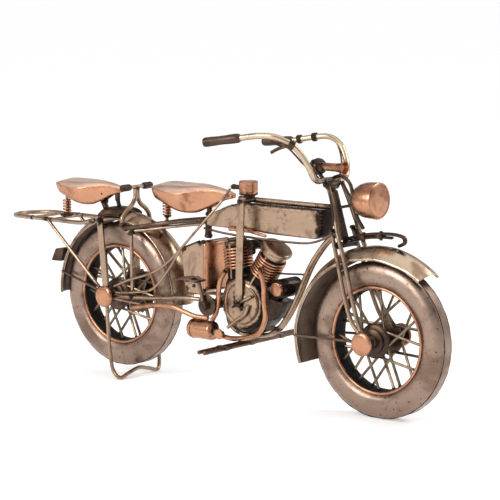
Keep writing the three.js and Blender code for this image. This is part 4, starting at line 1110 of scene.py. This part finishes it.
def passenger_bar():
    at = P(-59.3, 0, 109.4)
    bar = Skin(rod(at + P(0, -12, 0), at + P(0, 12, 0), 1.05))
    for s in (-1, 1):
        bar.add(wire([at + P(0, s * 0.9, -0.8), at + P(0, s * 1.1, -6), P(-59.5, s * 3.4, 99.6),
            P(-59.6, s * 8, 96.2), P(-60, s * 11.2, 92.6), P(-60, s * 11.8, 88.8)], 1.3))
    piece("passenger_wires", bar, NICKEL, ["passenger_bar"])
    grips = Skin()
    for s in (-1, 1):
        path = [at + P(0, s * (5.6 + 6.8 * k / 10), 0) for k in range(11)]
        grips.add(sweep(path, lambda t: 2.0 * (0.85 if t < 0.05 or t > 0.95 else 1), 16))
        grips.add(bead(P(-60, s * 11.8, 89), 1.9))
    grips.add(bead(at + P(0, 0, -1), 1.9))
    piece("passenger_grips", grips, DARK)


def rear_stand():
    right = [P(-68.6, -15.7, 43), P(-67, -16.2, 26), P(-65, -17, 14), P(-62.6, -17.2, 5),
        P(-58.6, -16.4, 1.15), P(-58.4, -8, 3), P(-58.4, 0, 4.6)]
    left = [P(-58.4, 8, 3), P(-58.6, 16.4, 1.15), P(-60, 19.3, 5.5), P(-61.5, 19.6, 14),
        P(-65, 17.6, 26), P(-68.6, 15.7, 43)]
    skin = Skin(wire([*right, *left], 1.12, 8, 12))
    eyes = Skin()
    for _, s in SIDES:
        eyes.add(lathe([(1.7, -0.7), (4.5, -0.7), (4.7, 0), (4.5, 0.7), (1.7, 0.7), (1.7, -0.7)],
            REAR + P(0, s * 15.8, 0), sides=28))
        burn(REAR + P(0, s * 15.8, -4), 7)
    piece("stand_wire", skin, NICKEL, ["rear_stand"], "stand")
    piece("stand_eyes", eyes, DARK, body="stand")


def pedals():
    def pin(s, y):
        return P(CRANK.x + s * CRANK_RADIUS * cos(CRANK_ANGLE), y,
            CRANK.z + s * CRANK_RADIUS * sin(CRANK_ANGLE))

    shaft = Skin(rod(CRANK - P(0, 19.2, 0), CRANK + P(0, 19.2, 0), 1.5))
    ring = Skin(
        lathe([(0, -0.6), (5.4, -0.6), (6, -0.3), (6, 0.3), (5.4, 0.6), (0, 0.6)], CRANK - P(0, 17, 0),
            sides=40),
        lathe([(0, 0), (3, 0), (2.6, 1.6), (1.4, 2), (0, 2)], CRANK - P(0, 19.6, 0), (0, -1, 0), 24))
    frames = Skin()
    for _, s in SIDES:
        y = s * 19.2
        end = pin(-s, y)
        shaft.add(rod(CRANK + P(0, y, 0), end, 1.5, flat=0.6))
        shaft.add(lathe([(0, -0.9), (2.4, -0.9), (2.6, -0.5), (2.6, 0.5), (2.4, 0.9), (0, 0.9)],
            CRANK + P(0, y, 0), sides=24))
        frames.add(rod(end, end + P(0, s * 11, 0), 1.0))
        for dx in (-7.4, 7.4):
            frames.add(rod(end + P(dx, s * 3, 0), end + P(dx, s * 11, 0), 0.6))
        for dy in (3, 11):
            frames.add(wire([end + P(-7.8, s * dy, 0), end + P(-2, s * dy, 0.9), end + P(2, s * dy, 0.9),
                end + P(7.8, s * dy, 0)], 0.65))
        frames.add(bead(end, 1.6))
    piece("crank_arms", shaft, NICKEL, ["pedal_crank"], "crank")
    piece("pedal_frames", frames, BROWN, ["pedal_right", "pedal_left"], "crank")
    piece("chainring", ring, DARK, body="crank")


def control_wires():
    upper = [P(11.6, -1.8, 113.4), P(8.6, -6.6, 106), P(2.6, -10.4, 97.6), P(-5, -12.4, 89),
        P(-14.6, -13, 79.3), P(-26.4, -13.6, 68.8), P(-37, -15, 63), P(-51, -15.9, 58.4),
        P(-63, -15.6, 53.4)]
    lower = [P(-14.8, -13, 79), P(-24.4, -14, 64.9), P(-34, -15.4, 54.8), P(-46, -15.9, 51.9),
        P(-61.6, -15.6, 50)]
    piece("control_rods", Skin(wire(upper, 0.75, 8, 10), wire(lower, 0.75, 8, 10),
        rod(P(-66, -16.2, 46.6), P(-42.6, -16, 45.4), 0.6, 10)), NICKEL, ["control_wires"])


def chain_side():
    teeth = 26
    outline = []
    for k in range(teeth * 2):
        r = 13.4 if k % 2 else 12.2
        a = pi * k / teeth
        outline.append((REAR.x + r * cos(a), REAR.z + r * sin(a)))
    piece("sprocket_plate", plate(outline, 11, 12), BROWN, ["rear_sprocket"], "rear_wheel")


wheel("front", FRONT)
wheel("rear", REAR)
axle("front", FRONT, 18.2, "steering")
axle("rear", REAR, 17.9, "frame")
front_fender()
rear_fender()
steering()
handlebar()
headlamp()
tubes()
tank()
engine()
pipes()
boxes()
seats()
rack()
passenger_bar()
rear_stand()
pedals()
control_wires()
chain_side()

# ---- Stage, light and camera ----
FLOOR_HALF = 60
# Height, from straight down at 0 to straight up at 1, and how bright the studio is there.
STUDIO = ((0.0, 0.44), (0.47, 0.42), (0.55, 0.42), (0.61, 0.66), (0.68, 0.7), (0.73, 0.1), (0.81, 0.1),
    (0.88, 0.75), (1.0, 1.0))
STUDIO_STRENGTH = 1.35
WHITE = (1, 1, 1, 1)
PAPER_GREY, PAPER_GLOW = 0.9, 0.28
FOCAL_PIXELS = 2019.35
IMAGE_WIDTH = 500
CAMERA_PLACE = (0.71277, -0.84687, 0.23687)
AZIMUTH, ELEVATION = radians(39.119), radians(8.156)

floor_mesh = bpy.data.meshes.new("floor")
corners = [(x * FLOOR_HALF, y * FLOOR_HALF, 0) for x, y in ((-1, -1), (1, -1), (1, 1), (-1, 1))]
floor_mesh.from_pydata(corners, [], [(0, 1, 2, 3)])
floor = bpy.data.objects.new("floor", floor_mesh)
scene.collection.objects.link(floor)
paper = bpy.data.materials.new("paper")
paper.use_nodes = True
for key, value in (("Base Color", (PAPER_GREY, PAPER_GREY, PAPER_GREY, 1)), ("Roughness", 0.9),
        ("Emission Color", WHITE), ("Emission Strength", PAPER_GLOW)):
    paper.node_tree.nodes["Principled BSDF"].inputs[key].default_value = value
floor_mesh.materials.append(paper)

world = bpy.data.worlds.new("studio")
world.use_nodes = True
tree = world.node_tree
join = tree.links.new
height = add_node(tree, "SeparateXYZ")
join(add_node(tree, "TexCoord").outputs["Generated"], height.inputs[0])
level = add_node(tree, "MapRange", From_Min=-1)
join(height.outputs["Z"], level.inputs["Value"])
ramp = add_node(tree, "ValToRGB")
ramp.color_ramp.interpolation = "EASE"
join(level.outputs["Result"], ramp.inputs["Fac"])
while len(ramp.color_ramp.elements) < len(STUDIO):
    ramp.color_ramp.elements.new(0.5)
for stop, (place, grey) in zip(ramp.color_ramp.elements, STUDIO):
    stop.position = place
    stop.color = (grey, grey, grey, 1)
room = tree.nodes["Background"]
room.inputs["Strength"].default_value = STUDIO_STRENGTH
join(ramp.outputs["Color"], room.inputs["Color"])
backdrop = add_node(tree, "Background", Color=WHITE, Strength=1.0)
either = add_node(tree, "MixShader")
join(add_node(tree, "LightPath").outputs["Is Camera Ray"], either.inputs["Fac"])
join(room.outputs[0], either.inputs[1])
join(backdrop.outputs[0], either.inputs[2])
join(either.outputs[0], tree.nodes["World Output"].inputs["Surface"])
scene.world = world
scene.view_settings.view_transform = "Standard"


def area_light(name, place, target, size, power):
    light = bpy.data.lights.new(name, "AREA")
    light.shape = "RECTANGLE"
    light.size, light.size_y = size
    light.energy = power
    obj = bpy.data.objects.new(name, light)
    obj.location = place
    obj.rotation_euler = (Vector(target) - Vector(place)).to_track_quat("-Z", "Y").to_euler()
    scene.collection.objects.link(obj)


area_light("key", (-0.25, -0.9, 0.55), (0, 0, 0.06), (0.5, 0.4), 6)
area_light("rim", (0.5, 0.5, 0.7), (0, 0, 0.06), (0.4, 0.4), 3)

camera_data = bpy.data.cameras.new("camera")
camera_data.sensor_width = 36
camera_data.lens = FOCAL_PIXELS / IMAGE_WIDTH * camera_data.sensor_width
camera_data.clip_start = 0.01
camera = bpy.data.objects.new("camera", camera_data)
camera.location = CAMERA_PLACE
camera.rotation_euler = (pi / 2 - ELEVATION, 0, AZIMUTH)
scene.collection.objects.link(camera)
scene.camera = camera
